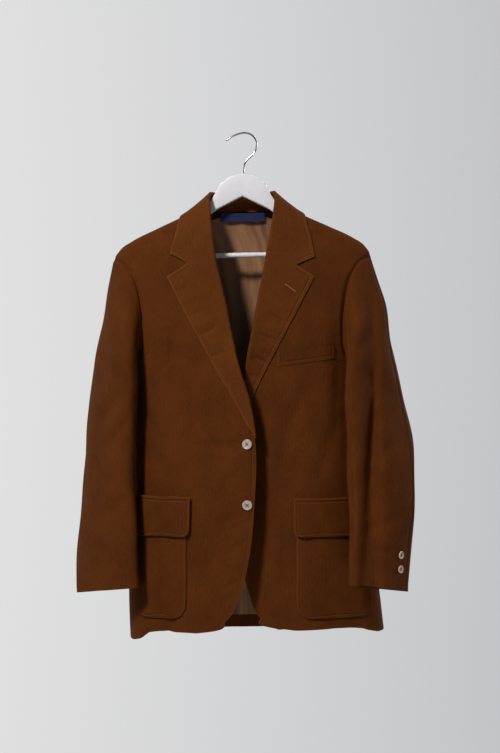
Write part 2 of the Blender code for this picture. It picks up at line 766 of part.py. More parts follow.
def rounded_patch(box, rows=8, columns=8):
    """A patch seen flat, its lower corners rounded: x and z of each grid point."""
    inner, outer_foot, outer_top, bottom, top, radius = box
    up = (np.arange(rows) / (rows - 1)) ** 1.6
    z = bottom + up * (top - bottom)
    into_corner = np.clip((bottom + radius - z) / radius, 0, 1)
    inset = radius * (1 - np.sqrt(1 - (into_corner * 0.96) ** 2))
    direction = np.sign(outer_top - inner)
    start = inner + direction * inset
    end = outer_foot + up * (outer_top - outer_foot) - direction * inset
    share = np.linspace(0, 1, columns)[None, :]
    return start[:, None] + share * (end - start)[:, None], z[:, None] + 0 * share


def patch_on(side, front, box, stand, bulge, swing, rows=8, columns=8):
    """A patch's outer points: stand off the front, bulge in its middle, swing at its foot."""
    x, z = rounded_patch(box, rows, columns)
    base = landed(front, x, z)
    up = np.linspace(0, 1, rows)[:, None]
    share = np.linspace(0, 1, columns)[None, :]
    dome = np.sin(np.pi * share) * np.sin(np.pi / 2 * np.clip(up * 1.6, 0, 1))
    height = stand + bulge * dome + swing * (1 - up) ** 2
    return raised(base, side, height)


def welt_on(front):
    """The breast pocket's welt, a band that climbs towards the arm."""
    share = np.linspace(0, 1, 8)[None, :]
    down = np.linspace(1, 0, 3)[:, None]
    x = WELT_INNER + share * (WELT_OUTER - WELT_INNER) + 0 * down
    z = WELT_TOP_INNER + share * (WELT_TOP_OUTER - WELT_TOP_INNER) - down * WELT_DEPTH
    return raised(landed(front, x, z), LEFT, LYING_GAP + WALL)


def turned(name, centre, axis, radius, finish, around=18):
    """A button: a turned disc with a raised rim and a dished face."""
    axis = unit(np.asarray(axis, float))
    first = unit(np.cross(axis, (0, 0, 1)))
    second = np.cross(axis, first)
    turn = np.linspace(0, 2 * math.pi, around, endpoint=False)[:, None]
    rings = []
    for out, up in BUTTON_PROFILE:
        ring = centre + radius * out * (np.cos(turn) * first + np.sin(turn) * second)
        rings.append(ring + axis * (BUTTON_STAND + up * BUTTON_THICKNESS))
    return loft(name, rings, finish)


def button_on_front(name, z):
    step = 0.003
    centre = front_at(RIGHT, FRONT_BUTTON_X, z)
    sideways = front_at(RIGHT, FRONT_BUTTON_X + step, z) - front_at(RIGHT, FRONT_BUTTON_X - step, z)
    upward = front_at(RIGHT, FRONT_BUTTON_X, z + step) - front_at(RIGHT, FRONT_BUTTON_X, z - step)
    return turned(name, centre, np.cross(sideways, upward), FRONT_BUTTON_RADIUS, HORN)


def button_on_cuff(name, side, z):
    step = 3.0
    facing = CUFF_BUTTON_FACING[side]
    centre = sleeve_section(side, z, facing)
    around = sleeve_section(side, z, facing + step) - sleeve_section(side, z, facing - step)
    axis = np.cross(around, (0, 0, -side))
    return turned(name, centre, axis, CUFF_BUTTON_RADIUS, HORN)


def tube(name, path, radius, finish, sides=10):
    along = unit(np.gradient(path, axis=0))
    first = unit(np.array((0.0, 1.0, 0.0)) - along * along[:, 1:2])
    second = np.cross(along, first)
    turn = np.linspace(0, 2 * math.pi, sides, endpoint=False)[None, :, None]
    rings = path[:, None] + radius * (np.cos(turn) * first[:, None] + np.sin(turn) * second[:, None])
    return loft(name, rings, finish)


def hanger():
    half = np.array(HANGER)
    across, top, bottom = np.concatenate([half[::-1] * (-1, 1, 1), half[1:]]).T
    x = MIDDLE + across
    top = top + TILT * across
    bottom = bottom + TILT * across
    thick, chamfer = HANGER_THICKNESS / 2, HANGER_CHAMFER
    corners = (
        (-thick, 1, -chamfer), (-thick + chamfer, 1, 0), (thick - chamfer, 1, 0), (thick, 1, -chamfer),
        (thick, 0, chamfer), (thick - chamfer, 0, 0), (-thick + chamfer, 0, 0), (-thick, 0, chamfer),
    )
    rings = []
    for y, at_top, step in corners:
        rings.append(np.stack([x, np.full_like(x, y), np.where(at_top, top, bottom) + step], axis=-1))
    loft("hanger_body", np.stack(rings, axis=1), PAINTED_WOOD)
    ends = np.linspace(-1, 1, 3) * BAR_HALF_LENGTH
    bar = np.stack([MIDDLE + ends, 0 * ends, BAR_LEVEL + TILT * ends], axis=-1)
    tube("hanger_bar", bar, BAR_RADIUS, PAINTED_WOOD, 12)
    hook = np.array([(x_, 0.0, z_) for x_, z_ in HOOK])
    length = np.append(0, np.cumsum(np.linalg.norm(np.diff(hook, axis=0), axis=1)))
    fine = np.linspace(0, length[-1], 28)
    hook = np.stack([smooth_curve(length, hook[:, axis], fine) for axis in range(3)], axis=-1)
    tube("hanger_hook", hook, WIRE_RADIUS, CHROME, 10)


# ---------------------------------------------------------------- inside the back


def lining_grid(backs):
    """The lining follows the back's points inside its walls, from near the hem to the neck."""
    stand = WALL + LINING_GAP
    chosen = np.s_[LINING_FIRST_ROW:LINING_END_ROW:2, 0 : PANEL_ACROSS - 2 : 2]
    halves = []
    for side, word in WORDS.items():
        points = backs["back_" + word][chosen]
        across = (points[-1, :, 0] - MIDDLE) * side
        top = surface(side, across, ARMPIT, np.full(len(across), LINING_TOP_TURN))
        points = np.concatenate([points, top[None]])
        inward = -grid_normals(points, -side)
        pleat = np.where(np.arange(points.shape[1]) == 0, PLEAT_HEIGHT, 0.0)
        halves.append(points + inward * (stand + pleat)[None, :, None])
    return np.concatenate([halves[0][:, ::-1], halves[1][:, 1:]], axis=1)


def label_grid():
    share = np.linspace(-1, 1, 5)[None, :]
    down = np.linspace(0, 1, 3)[:, None]
    height = LABEL_TOP - down * LABEL_HEIGHT
    across = np.abs(share * LABEL_WIDTH / 2) + 0 * down
    up = (height - ARMPIT) / (shoulder_height(0.0) - ARMPIT)
    rise = 180 - np.degrees(np.arcsin(up ** (TOP_ROUNDNESS / 2)))
    points = surface(LEFT, across, ARMPIT, rise + 0 * share)
    points[..., 0] = MIDDLE + share * LABEL_WIDTH / 2
    points[..., 2] = height + TILT * share * LABEL_WIDTH / 2
    normals = grid_normals(points, 1)
    return points - normals * (WALL + LINING_GAP + LINING_WALL + PLEAT_HEIGHT + LABEL_GAP)


# ---------------------------------------------------------------- building


def share_normals(first, first_at, second, second_at):
    """Both pieces of a seam take one direction of thickness, so that their edges mitre."""
    middle = unit(first[first_at] + second[second_at])
    lean = np.maximum(dot(first[first_at], middle), 0.6)
    first[first_at] = middle / lean
    second[second_at] = middle / lean


def body_and_sleeves():
    """The fronts, backs and sleeves, seamed to each other."""
    outer, normals = {}, {}
    steps, first_up = ARMHOLE_STEPS, UP_TO_ARMPIT
    for side, word in WORDS.items():
        front, back = front_grid(side), back_grid(side)
        sleeve = sleeve_grid(side, front[first_up:, -1], back[first_up:, -1])
        wrapped = np.concatenate([sleeve[:, -4:-1], sleeve, sleeve[:, 1:4]], axis=1)
        outer["front_" + word], normals["front_" + word] = front, grid_normals(front, side)
        outer["back_" + word], normals["back_" + word] = back, grid_normals(back, -side)
        outer["sleeve_" + word] = sleeve
        normals["sleeve_" + word] = softened(grid_normals(wrapped, side))[:, 3:-3]
    share_normals(normals["back_right"], np.s_[:, 0], normals["back_left"], np.s_[:, 0])
    for word in WORDS.values():
        front, back = normals["front_" + word], normals["back_" + word]
        sleeve = normals["sleeve_" + word]
        share_normals(front, np.s_[: first_up + 1, -1], back, np.s_[: first_up + 1, -1])
        share_normals(front, np.s_[-1, :], back, np.s_[-1, :])
        share_normals(sleeve, np.s_[0, steps:0:-1], front, np.s_[first_up:-1, -1])
        share_normals(sleeve, np.s_[0, steps:], back, np.s_[first_up:, -1])
        sleeve[0, 0] = sleeve[0, -1]
        front[-1, -1] = back[-1, -1]
        front[first_up, -1] = back[first_up, -1]
    return outer, normals


def cloth(name, points, normals, edges, thickness=WALL, finish=CORDUROY):
    wall(name, pulled_in(points, edges), -normals, finish, thickness)


def main():
    clear_scene()
    outer, normals = body_and_sleeves()
    for side, word in WORDS.items():
        for face in ("front_", "back_"):
            seams = ("first_column", "last_column", "last_row")
            cloth(face + word, outer[face + word], normals[face + word], seams)
        sleeve, sleeve_normals = outer["sleeve_" + word], normals["sleeve_" + word]
        around = 2 * ARMHOLE_STEPS
        hind, fore = HIND_SEAM[side], FORE_SEAM[side]
        for kind, start, end in (("top", hind, fore), ("under", fore, hind)):
            columns = [(start + i) % around for i in range((end - start) % around + 1)]
            cloth(
                f"{kind}_sleeve_{word}",
                sleeve[:, columns],
                sleeve_normals[:, columns],
                ("first_row", "first_column", "last_column"),
            )
        lapel, lapel_normals = lapel_grid(side)
        cloth("lapel_" + word, lapel, lapel_normals, ("first_row", "first_column"), LAPEL_WALL)
        front = outer["front_" + word]
        pocket = patch_on(side, front, POCKETS[side], POCKET_STAND, POCKET_BULGE, 0.0)
        cloth("pocket_" + word, pocket, grid_normals(pocket, side), ())
        flap = patch_on(side, front, FLAPS[side], FLAP_STAND, POCKET_BULGE, FLAP_SWING, 6, 8)
        cloth("flap_" + word, flap, grid_normals(flap, side), ())
        for index, height in enumerate(CUFF_BUTTON_HEIGHTS):
            button_on_cuff(f"cuff_button_{word}_{index + 1}", side, height)
    collar = collar_grid()
    cloth("collar", collar, grid_normals(collar, -1), ("first_row", "last_row"))
    welt = welt_on(outer["front_left"])
    cloth("breast_welt", welt, grid_normals(welt, LEFT), ())
    lining = lining_grid(outer)
    cloth("back_lining", lining, grid_normals(lining, -1), (), LINING_WALL, SATIN)
    label = label_grid()
    cloth("neck_label", label, grid_normals(label, 1), (), LABEL_WALL, NAVY_WEAVE)
    button_on_front("button_top", FRONT_BUTTON_HEIGHTS[0])
    button_on_front("button_bottom", FRONT_BUTTON_HEIGHTS[1])
    hanger()


if __name__ == "__main__":
    main()
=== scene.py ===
"""A man's two-button corduroy jacket hung, unfastened, on a flat wooden hanger.

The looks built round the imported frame, in metres with +Z up. The origin is where the inside of
the hook bears on its nail and the jacket's front faces -Y. Right and left are the wearer's.
"""

import math

import bpy
import numpy as np
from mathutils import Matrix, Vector
from mathutils.bvhtree import BVHTree


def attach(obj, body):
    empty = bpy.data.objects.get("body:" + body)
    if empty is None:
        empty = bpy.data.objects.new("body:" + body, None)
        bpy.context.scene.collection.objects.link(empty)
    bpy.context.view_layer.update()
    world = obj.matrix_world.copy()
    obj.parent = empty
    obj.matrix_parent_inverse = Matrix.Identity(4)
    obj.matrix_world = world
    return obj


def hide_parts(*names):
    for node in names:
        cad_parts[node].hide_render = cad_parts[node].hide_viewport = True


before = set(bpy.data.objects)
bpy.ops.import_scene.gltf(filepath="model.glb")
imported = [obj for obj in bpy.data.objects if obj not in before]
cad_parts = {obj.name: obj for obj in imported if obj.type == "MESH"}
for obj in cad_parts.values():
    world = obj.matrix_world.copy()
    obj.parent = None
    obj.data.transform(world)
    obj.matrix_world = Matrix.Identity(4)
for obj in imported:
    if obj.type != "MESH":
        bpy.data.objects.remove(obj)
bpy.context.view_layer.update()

PATCH_FINE = 70
# How many degrees each collar point sits below the pattern's place.
COLLAR_CORNER = {-1: -1.3, 1: 2.0}
WELT_STAND = 0.0013
WELT_WALL = 0.0010
METRES_A_DEGREE = 0.0009

# Creases pressed and worn into the cloth: where each starts and ends, its half
# width, how far it stands out (a trough is negative) and how far its middle bows sideways.
# Columns: x and z at the start, x and z at the end, half width, height, bow.
BODY_CREASES = {
    ("front", -1): (
        (-0.096, -0.574, 0.012, -0.567, 0.0075, -0.0074, 0.003),
        (-0.100, -0.586, -0.010, -0.577, 0.0080, 0.0031, -0.003),
        (-0.132, -0.375, -0.124, -0.500, 0.0080, -0.0048, 0.004),
        (-0.148, -0.350, -0.140, -0.470, 0.0110, 0.0034, -0.003),
        (-0.092, -0.420, -0.108, -0.640, 0.0140, -0.0044, -0.008),
        (-0.196, -0.470, -0.150, -0.560, 0.0100, -0.0051, 0.005),
        (-0.198, -0.560, -0.140, -0.640, 0.0120, -0.0044, -0.006),
        (-0.030, -0.700, -0.070, -0.850, 0.0120, -0.0037, 0.006),
        (-0.062, -0.640, -0.086, -0.780, 0.0150, 0.0037, 0.004),
        (-0.010, -0.610, -0.040, -0.660, 0.0080, -0.0027, 0.002),
        (-0.006, -0.690, -0.052, -0.720, 0.0090, -0.0034, 0.004),
        (-0.135, -0.880, -0.137, -0.930, 0.0070, -0.0102, 0.000),
        (0.012, -0.700, -0.022, -0.722, 0.0055, -0.0016, 0.002),
        (0.010, -0.738, -0.026, -0.762, 0.0050, -0.0022, 0.002),
        (0.004, -0.772, -0.030, -0.796, 0.0050, 0.0018, 0.002),
        (-0.001, -0.806, -0.036, -0.826, 0.0050, -0.0022, 0.002),
        (-0.010, -0.838, -0.044, -0.852, 0.0055, -0.0018, 0.002),
        (-0.160, -0.230, -0.150, -0.330, 0.0150, -0.0031, 0.004),
    ),
    ("front", 1): (
        (0.183, -0.300, 0.183, -0.660, 0.0050, -0.0020, 0.002),
        (0.158, -0.300, 0.150, -0.520, 0.0160, 0.0037, 0.006),
        (0.170, -0.360, 0.164, -0.560, 0.0090, -0.0041, -0.004),
        (0.120, -0.450, 0.060, -0.640, 0.0140, -0.0041, 0.010),
        (0.190, -0.500, 0.130, -0.640, 0.0120, -0.0037, 0.006),
        (0.070, -0.560, 0.040, -0.760, 0.0150, -0.0037, -0.006),
        (0.080, -0.610, 0.070, -0.860, 0.0080, -0.0034, 0.003),
        (0.056, -0.870, 0.085, -0.918, 0.0080, -0.0037, 0.002),
        (0.150, -0.880, 0.180, -0.925, 0.0100, -0.0037, 0.002),
    ),
    ("back", -1): (
        (-0.060, -0.250, -0.150, -0.330, 0.0160, -0.0051, 0.008),
        (-0.190, -0.360, -0.110, -0.480, 0.0140, -0.0058, 0.010),
        (-0.196, -0.430, -0.130, -0.560, 0.0120, -0.0048, 0.006),
        (-0.030, -0.300, -0.020, -0.560, 0.0170, -0.0034, 0.006),
        (-0.090, -0.520, -0.120, -0.900, 0.0190, 0.0058, 0.010),
        (-0.140, -0.600, -0.160, -0.920, 0.0150, -0.0061, 0.006),
        (-0.040, -0.640, -0.060, -0.920, 0.0160, -0.0051, -0.008),
    ),
    ("back", 1): (
        (0.050, -0.240, 0.160, -0.340, 0.0150, -0.0048, 0.006),
        (0.188, -0.350, 0.120, -0.450, 0.0130, -0.0054, 0.008),
        (0.198, -0.450, 0.110, -0.590, 0.0150, -0.0051, 0.010),
        (0.040, -0.340, 0.050, -0.620, 0.0150, -0.0034, 0.004),
        (0.100, -0.560, 0.130, -0.910, 0.0200, 0.0054, 0.010),
        (0.170, -0.620, 0.190, -0.910, 0.0140, -0.0058, 0.006),
        (0.050, -0.700, 0.070, -0.920, 0.0150, -0.0048, 0.006),
    ),
}
# The same on the sleeves, where the first and third numbers are degrees round the sleeve:
# 0 outward, 90 to the front and 180 to the body. The half width is in metres along the arm
# for those that run round it, and the bow in degrees.
SLEEVE_CREASES = {
    -1: (
        (60, -0.330, 110, -0.400, 0.0140, -0.0042, 0.006),
        (30, -0.400, 120, -0.470, 0.0120, -0.0036, 0.008),
        (100, -0.470, 40, -0.560, 0.0150, -0.0050, 0.010),
        (130, -0.520, 60, -0.585, 0.0120, -0.0048, 0.006),
        (20, -0.600, 110, -0.650, 0.0140, -0.0042, 0.008),
        (120, -0.660, 50, -0.715, 0.0130, -0.0036, 0.006),
        (30, -0.740, 100, -0.775, 0.0110, -0.0025, 0.004),
        (300, -0.380, 220, -0.470, 0.0150, -0.0050, 0.010),
        (210, -0.520, 310, -0.600, 0.0150, -0.0050, 0.008),
        (320, -0.640, 230, -0.700, 0.0130, -0.0042, 0.006),
    ),
    1: (
        (50, -0.340, 120, -0.410, 0.0140, -0.0042, 0.008),
        (110, -0.430, 30, -0.500, 0.0130, -0.0042, 0.008),
        (20, -0.540, 100, -0.600, 0.0150, -0.0048, 0.010),
        (120, -0.600, 60, -0.660, 0.0120, -0.0042, 0.006),
        (30, -0.690, 120, -0.730, 0.0120, -0.0034, 0.006),
        (10, -0.762, 140, -0.758, 0.0045, -0.0017, 0.000),
        (310, -0.370, 230, -0.460, 0.0150, -0.0048, 0.010),
        (220, -0.500, 300, -0.590, 0.0150, -0.0048, 0.008),
        (310, -0.620, 220, -0.690, 0.0140, -0.0042, 0.006),
    ),
}
# Short puckers that run in from each lapel's stitched edge: share of the way down the edge,
# length, half width and height.
LAPEL_PUCKERS = {
    -1: (
        (0.10, 0.034, 0.0055, -0.0016),
        (0.17, 0.046, 0.0060, 0.0015),
        (0.26, 0.038, 0.0050, -0.0022),
        (0.33, 0.052, 0.0055, 0.0018),
        (0.38, 0.044, 0.0045, -0.0026),
        (0.46, 0.040, 0.0055, 0.0016),
        (0.52, 0.034, 0.0045, -0.0022),
        (0.60, 0.030, 0.0055, -0.0018),
        (0.72, 0.024, 0.0050, -0.0016),
    ),
    1: (
        (0.14, 0.030, 0.0050, -0.0016),
        (0.24, 0.040, 0.0055, 0.0016),
        (0.31, 0.046, 0.0045, -0.0026),
        (0.37, 0.038, 0.0050, 0.0018),
        (0.43, 0.044, 0.0045, -0.0026),
        (0.49, 0.034, 0.0050, 0.0014),
        (0.56, 0.036, 0.0045, -0.0024),
        (0.66, 0.028, 0.0050, -0.0018),
        (0.78, 0.022, 0.0050, -0.0014),
    ),
}
# How far the front's hem sags between its patch pocket and the side.
HEM_SAG = {-1: 0.0085, 1: 0.0015}
# Slow unevenness of hung cloth: cycles a metre across and down, a phase and a height.
BODY_WAVES = (
    (5.1, 1.6, 0.4, 0.0010),
    (8.7, -2.3, 2.1, 0.0007),
    (3.3, 4.9, 4.0, 0.0006),
    (13.0, 3.1, 1.2, 0.0004),
    (-6.4, 7.7, 5.3, 0.0004),
    (21.0, 9.4, 3.7, 0.0002),
)
SLEEVE_WAVES = (
    (2, 3.4, 0.7, 0.0010),
    (3, -5.2, 2.9, 0.0008),
    (1, 8.1, 4.4, 0.0006),
    (5, 6.7, 1.3, 0.0004),
)

RIGHT, LEFT = -1, 1
WORDS = {RIGHT: "right", LEFT: "left"}

# Cloth
WALL = 0.002
LAPEL_WALL = 0.0022
LINING_WALL = 0.001
HALF_SEAM = 0.00002
LYING_GAP = 0.0012

# The garment's frame
MIDDLE = -0.004
TILT = 0.018
ARMPIT = -0.430
SHOULDER_TIP = -0.2275
TOP_ROUNDNESS = 2.2
BACK_SQUARENESS = 3.0

# Grid counts
UP_TO_ARMPIT = 96
ARMHOLE_STEPS = 60
TIP_CROWDING = 1.9
HEAD_CROWDING = 1.25
PANEL_ACROSS = 82
SLEEVE_DOWN = 130

# Sections of the body, from below the hem to the shoulder tip: half widths each side of the
# middle, how far the front, the back and the side stand from the hanger's plane, and how
# square the front's section is.
BODY_COLUMNS = ("level", "right", "left", "front", "back", "side", "square")
BODY = (
    (-0.930, 0.207, 0.263, 0.086, 0.048, 0.014, 2.1),
    (-0.850, 0.210, 0.254, 0.086, 0.052, 0.016, 2.1),
    (-0.740, 0.207, 0.239, 0.084, 0.055, 0.016, 2.2),
    (-0.620, 0.203, 0.222, 0.080, 0.058, 0.014, 2.3),
    (-0.520, 0.201, 0.210, 0.076, 0.060, 0.010, 2.3),
    (-0.430, 0.202, 0.203, 0.073, 0.062, 0.006, 2.4),
    (-0.360, 0.206, 0.206, 0.071, 0.062, 0.002, 2.8),
    (-0.290, 0.217, 0.217, 0.070, 0.061, 0.000, 3.2),
    (-0.2275, 0.237, 0.237, 0.069, 0.060, 0.000, 3.0),
)

# The shoulder line: height at a distance from the middle.
SHOULDER_COLUMNS = ("across", "height")
SHOULDER = (
    (0.000, -0.111),
    (0.050, -0.122),
    (0.072, -0.131),
    (0.110, -0.151),
    (0.160, -0.174),
    (0.205, -0.196),
    (0.225, -0.210),
    (0.237, -0.2275),
)

# The armhole seam, from the shoulder tip down to the armpit.
ARMHOLE_COLUMNS = ("across_front", "height_front", "across_back", "height_back")
ARMHOLE = (
    (0.2370, -0.2275, 0.2370, -0.2275),
    (0.2130, -0.2430, 0.2140, -0.2450),
    (0.1960, -0.2720, 0.2000, -0.2750),
    (0.1850, -0.3200, 0.1920, -0.3200),
    (0.1825, -0.3700, 0.1900, -0.3650),
    (0.1880, -0.4080, 0.1930, -0.4050),
    (0.2020, -0.4300, 0.2020, -0.4300),
)

# The inner boundary of each front from its hem to the neck point: the cutaway, the buttoning
# edge, then the line where the lapel folds over.
EDGE_COLUMNS = ("height", "right", "left")
EDGE = (
    (-0.9060, -0.0850, 0.0900),
    (-0.9020, -0.0600, 0.0550),
    (-0.8820, -0.0330, 0.0280),
    (-0.8400, -0.0100, 0.0080),
    (-0.7720, 0.0080, -0.0040),
    (-0.6780, 0.0175, -0.0120),
    (-0.5770, 0.0200, -0.0140),
    (-0.4880, 0.0060, -0.0030),
    (-0.4320, -0.0120, 0.0050),
    (-0.3040, -0.0400, 0.0290),
    (-0.2440, -0.0545, 0.0415),
)

# The lapel's free edge from its tip down to the break.
LAPEL_COLUMNS = ("height", "right", "left")
LAPEL = (
    (-0.552, 0.0130, -0.0120),
    (-0.513, -0.0060, 0.0030),
    (-0.426, -0.0560, 0.0440),
    (-0.343, -0.1020, 0.0870),
    (-0.268, -0.1400, 0.1260),
)
GORGE = -0.2460
BREAK = -0.552
LAPEL_TIP = -0.268
NOTCH_SHARE = 0.6
LAPEL_NOTCH = 0.0125
COLLAR_NOTCH_TURN = 3.4
LAPEL_ROWS = 120
COLLAR_STATIONS = 81
LEAF_COLUMNS = 41
ROLL_COLUMNS = 10
STAND_COLUMNS = 8
ROLL_RISE_TOP = 0.0055
ROLL_RISE_BREAK = 0.0015

# The collar, for one half, from the gorge end to the centre back: the neck seam and the
# fall's free edge as a distance across and a turn over the shoulder (0 front, 90 at the
# shoulder line, 180 back), and the top of the roll as a point.
COLLAR_COLUMNS = (
    "along", "seam_across", "seam_turn", "roll_x", "roll_y", "roll_z", "edge_across", "edge_turn",
)
COLLAR = (
    (0.00, 0.0480, 35.0, 0.0430, -0.0625, -0.2450, 0.1305, 46.7),
    (0.20, 0.0610, 49.5, 0.0520, -0.0560, -0.1930, 0.1250, 55.0),
    (0.40, 0.0705, 65.8, 0.0575, -0.0420, -0.1480, 0.1180, 66.4),
    (0.60, 0.0745, 90.0, 0.0585, -0.0080, -0.1095, 0.1080, 90.0),
    (0.75, 0.0600, 106.9, 0.0500, 0.0170, -0.1050, 0.0850, 112.0),
    (0.88, 0.0300, 114.6, 0.0280, 0.0300, -0.1030, 0.0450, 121.0),
    (1.00, 0.0000, 116.2, 0.0000, 0.0330, -0.1020, 0.0000, 124.0),
)
AT_SHOULDER = 0.60
COLLAR_SEAM_GAP = 0.0008
COLLAR_STAND_OFF = 0.0040
COLLAR_SWAY = 0.0025
COLLAR_ROLL_GORGE = 0.0052
COLLAR_ROLL_NECK = 0.0034

# The sleeves: centre, the two half axes of the section and how far its long axis leans from
# straight across towards front-to-back. Distances are from the middle.
SLEEVE_COLUMNS = ("level", "across", "forward", "long", "short", "lean")
SLEEVES = {
    RIGHT: (
        (-0.2275, 0.2140, 0.000, 0.0500, 0.0245, 88),
        (-0.3080, 0.2190, 0.006, 0.0620, 0.0330, 78),
        (-0.3830, 0.2275, 0.016, 0.0680, 0.0320, 68),
        (-0.4550, 0.2345, 0.024, 0.0712, 0.0305, 60),
        (-0.5800, 0.2420, 0.022, 0.0725, 0.0305, 54),
        (-0.6600, 0.2440, 0.029, 0.0735, 0.0300, 50),
        (-0.7350, 0.2465, 0.031, 0.0780, 0.0300, 48),
        (-0.8300, 0.2455, 0.034, 0.0790, 0.0300, 42),
    ),
    LEFT: (
        (-0.2275, 0.2145, 0.000, 0.0500, 0.0245, 88),
        (-0.3080, 0.2240, 0.010, 0.0620, 0.0350, 74),
        (-0.3910, 0.2330, 0.020, 0.0690, 0.0330, 58),
        (-0.4910, 0.2425, 0.030, 0.0750, 0.0305, 45),
        (-0.5830, 0.2515, 0.042, 0.0750, 0.0305, 36),
        (-0.6610, 0.2528, 0.054, 0.0742, 0.0305, 34),
        (-0.7420, 0.2505, 0.062, 0.0735, 0.0310, 38),
        (-0.8300, 0.2460, 0.070, 0.0700, 0.0310, 42),
    ),
}
CUFF = {RIGHT: -0.838, LEFT: -0.830}
CUFF_OUTER_DROP = 0.008
CUFF_BACK_DROP = 0.009
ARMPIT_FACING = 222
REACH_AT_TIP, REACH_AT_ARMPIT = 0.42, 0.06
HIND_SEAM = {RIGHT: 110, LEFT: 5}
FORE_SEAM = {RIGHT: 45, LEFT: 40}

# Long soft folds of the fronts and sleeves: a line down the cloth, the fold's half width and
# how far it stands forward (a trough is negative).
# Columns: x and z at the top, x and z at the bottom, half width, height.
FRONT_FOLDS = {
    RIGHT: (
        (0.020, -0.360, 0.010, -0.930, 0.085, 0.024),
        (-0.146, -0.640, -0.144, -0.960, 0.013, -0.008),
        (-0.180, -0.640, -0.178, -0.960, 0.030, 0.006),
    ),
    LEFT: (
        (0.004, -0.360, 0.018, -0.930, 0.052, -0.019),
        (0.090, -0.560, 0.085, -0.940, 0.014, -0.003),
    ),
}
SLEEVE_FOLDS = {
    RIGHT: ((-0.262, -0.300, -0.262, -0.560, 0.020, -0.003),),
    LEFT: (
        (0.237, -0.250, 0.232, -0.500, 0.013, -0.014),
        (0.232, -0.460, 0.213, -0.820, 0.012, -0.014),
    ),
}

# Patch pockets, flaps and the breast welt, as boxes on the front seen flat.
# Columns: inner edge, outer edge at the foot and at the top, bottom, top, corner radius.
POCKETS = {
    RIGHT: (-0.104, -0.201, -0.196, -0.884, -0.668, 0.030),
    LEFT: (0.094, 0.236, 0.205, -0.883, -0.670, 0.030),
}
FLAPS = {
    RIGHT: (-0.095, -0.198, -0.195, -0.735, -0.664, 0.014),
    LEFT: (0.089, 0.208, 0.202, -0.736, -0.667, 0.014),
}
POCKET_BULGE = 0.0025
POCKET_STAND = 0.0036
FLAP_STAND = 0.0086
FLAP_SWING = 0.0020
WELT_INNER, WELT_OUTER = 0.060, 0.163
WELT_TOP_INNER, WELT_TOP_OUTER = -0.406, -0.392
WELT_DEPTH = 0.024

# Buttons
FRONT_BUTTON_RADIUS = 0.0090
CUFF_BUTTON_RADIUS = 0.0070
BUTTON_THICKNESS = 0.0034
BUTTON_STAND = 0.0012
FRONT_BUTTON_X = 0.0055
FRONT_BUTTON_HEIGHTS = (-0.569, -0.676)
CUFF_BUTTON_HEIGHTS = (-0.769, -0.794)
CUFF_BUTTON_FACING = {RIGHT: -60.0, LEFT: 33.0}
# A button's turned section from its back round the rim to its dished face: shares of its
# radius and of its thickness.
BUTTON_PROFILE = (
    (0.35, 0.00),
    (0.80, 0.10),
    (1.00, 0.45),
    (0.97, 0.85),
    (0.86, 1.00),
    (0.72, 0.78),
    (0.30, 0.66),
)

# Lining and label
LINING_FIRST_ROW = 16
LINING_END_ROW = 137
LINING_TOP_TURN = 116.5
LABEL_WIDTH, LABEL_HEIGHT = 0.081, 0.015
LABEL_TOP = -0.1395
LABEL_WALL = 0.001
LABEL_GAP = 0.0045
LINING_GAP = 0.0030
PLEAT_HEIGHT = 0.003

# Hanger
HANGER_THICKNESS = 0.013
# The wood's edge for one half. Columns: across, top, bottom.
HANGER = (
    (0.0000, -0.0740, -0.1160),
    (0.0120, -0.0752, -0.1220),
    (0.0230, -0.0790, -0.1275),
    (0.0340, -0.0865, -0.1330),
    (0.0420, -0.0935, -0.1370),
    (0.0475, -0.1020, -0.1400),
    (0.0515, -0.1110, -0.1425),
    (0.0560, -0.1185, -0.1455),
    (0.0640, -0.1290, -0.1510),
    (0.0760, -0.1420, -0.1600),
    (0.1000, -0.1560, -0.1755),
    (0.1500, -0.1800, -0.1990),
    (0.1885, -0.1985, -0.2185),
    (0.1890, -0.1988, -0.2320),
    (0.2080, -0.2090, -0.2330),
    (0.2140, -0.2150, -0.2270),
)
HANGER_CHAMFER = 0.0025
BAR_RADIUS = 0.0046
BAR_LEVEL = -0.2240
BAR_HALF_LENGTH = 0.1882
# The hook's wire, from its free tip over the nail and down to the wood.
WIRE_RADIUS = 0.0018
# Columns: x, z.
HOOK = (
    (-0.0345, -0.0125),
    (-0.0250, -0.0060),
    (-0.0130, -0.0005),
    (0.0000, 0.0018),
    (0.0110, -0.0008),
    (0.0190, -0.0080),
    (0.0222, -0.0190),
    (0.0200, -0.0300),
    (0.0130, -0.0400),
    (0.0050, -0.0475),
    (0.0005, -0.0545),
    (-0.0012, -0.0640),
    (-0.0015, -0.0735),
)



def column(table, columns, name):
    return np.array([row[columns.index(name)] for row in table], float)


def smooth_curve(knots, values, at):
    """Cubic through the values at rising knots, held level past both ends."""
    slopes = np.gradient(values, knots)
    at = np.clip(at, knots[0], knots[-1])
    index = np.clip(np.searchsorted(knots, at, side="right") - 1, 0, len(knots) - 2)
    span = knots[index + 1] - knots[index]
    t = (at - knots[index]) / span
    return (
        (1 + 2 * t) * (1 - t) ** 2 * values[index]
        + t * (1 - t) ** 2 * span * slopes[index]
        + t * t * (3 - 2 * t) * values[index + 1]
        + t * t * (t - 1) * span * slopes[index + 1]
    )


def read(table, columns, name, at):
    """A column of a table at some value of its first column, which may fall or rise."""
    knots = column(table, columns, columns[0])
    values = column(table, columns, name)
    order = np.argsort(knots)
    return smooth_curve(knots[order], values[order], np.asarray(at, float))


def ease(value, start, end):
    t = np.clip((value - start) / (end - start), 0, 1)
    return t * t * (3 - 2 * t)


def smooth_step_between(first, last, share):
    return first + (last - first) * ease(share, 0.0, 0.5)


def unit(vectors):
    return vectors / np.maximum(np.linalg.norm(vectors, axis=-1, keepdims=True), 1e-12)


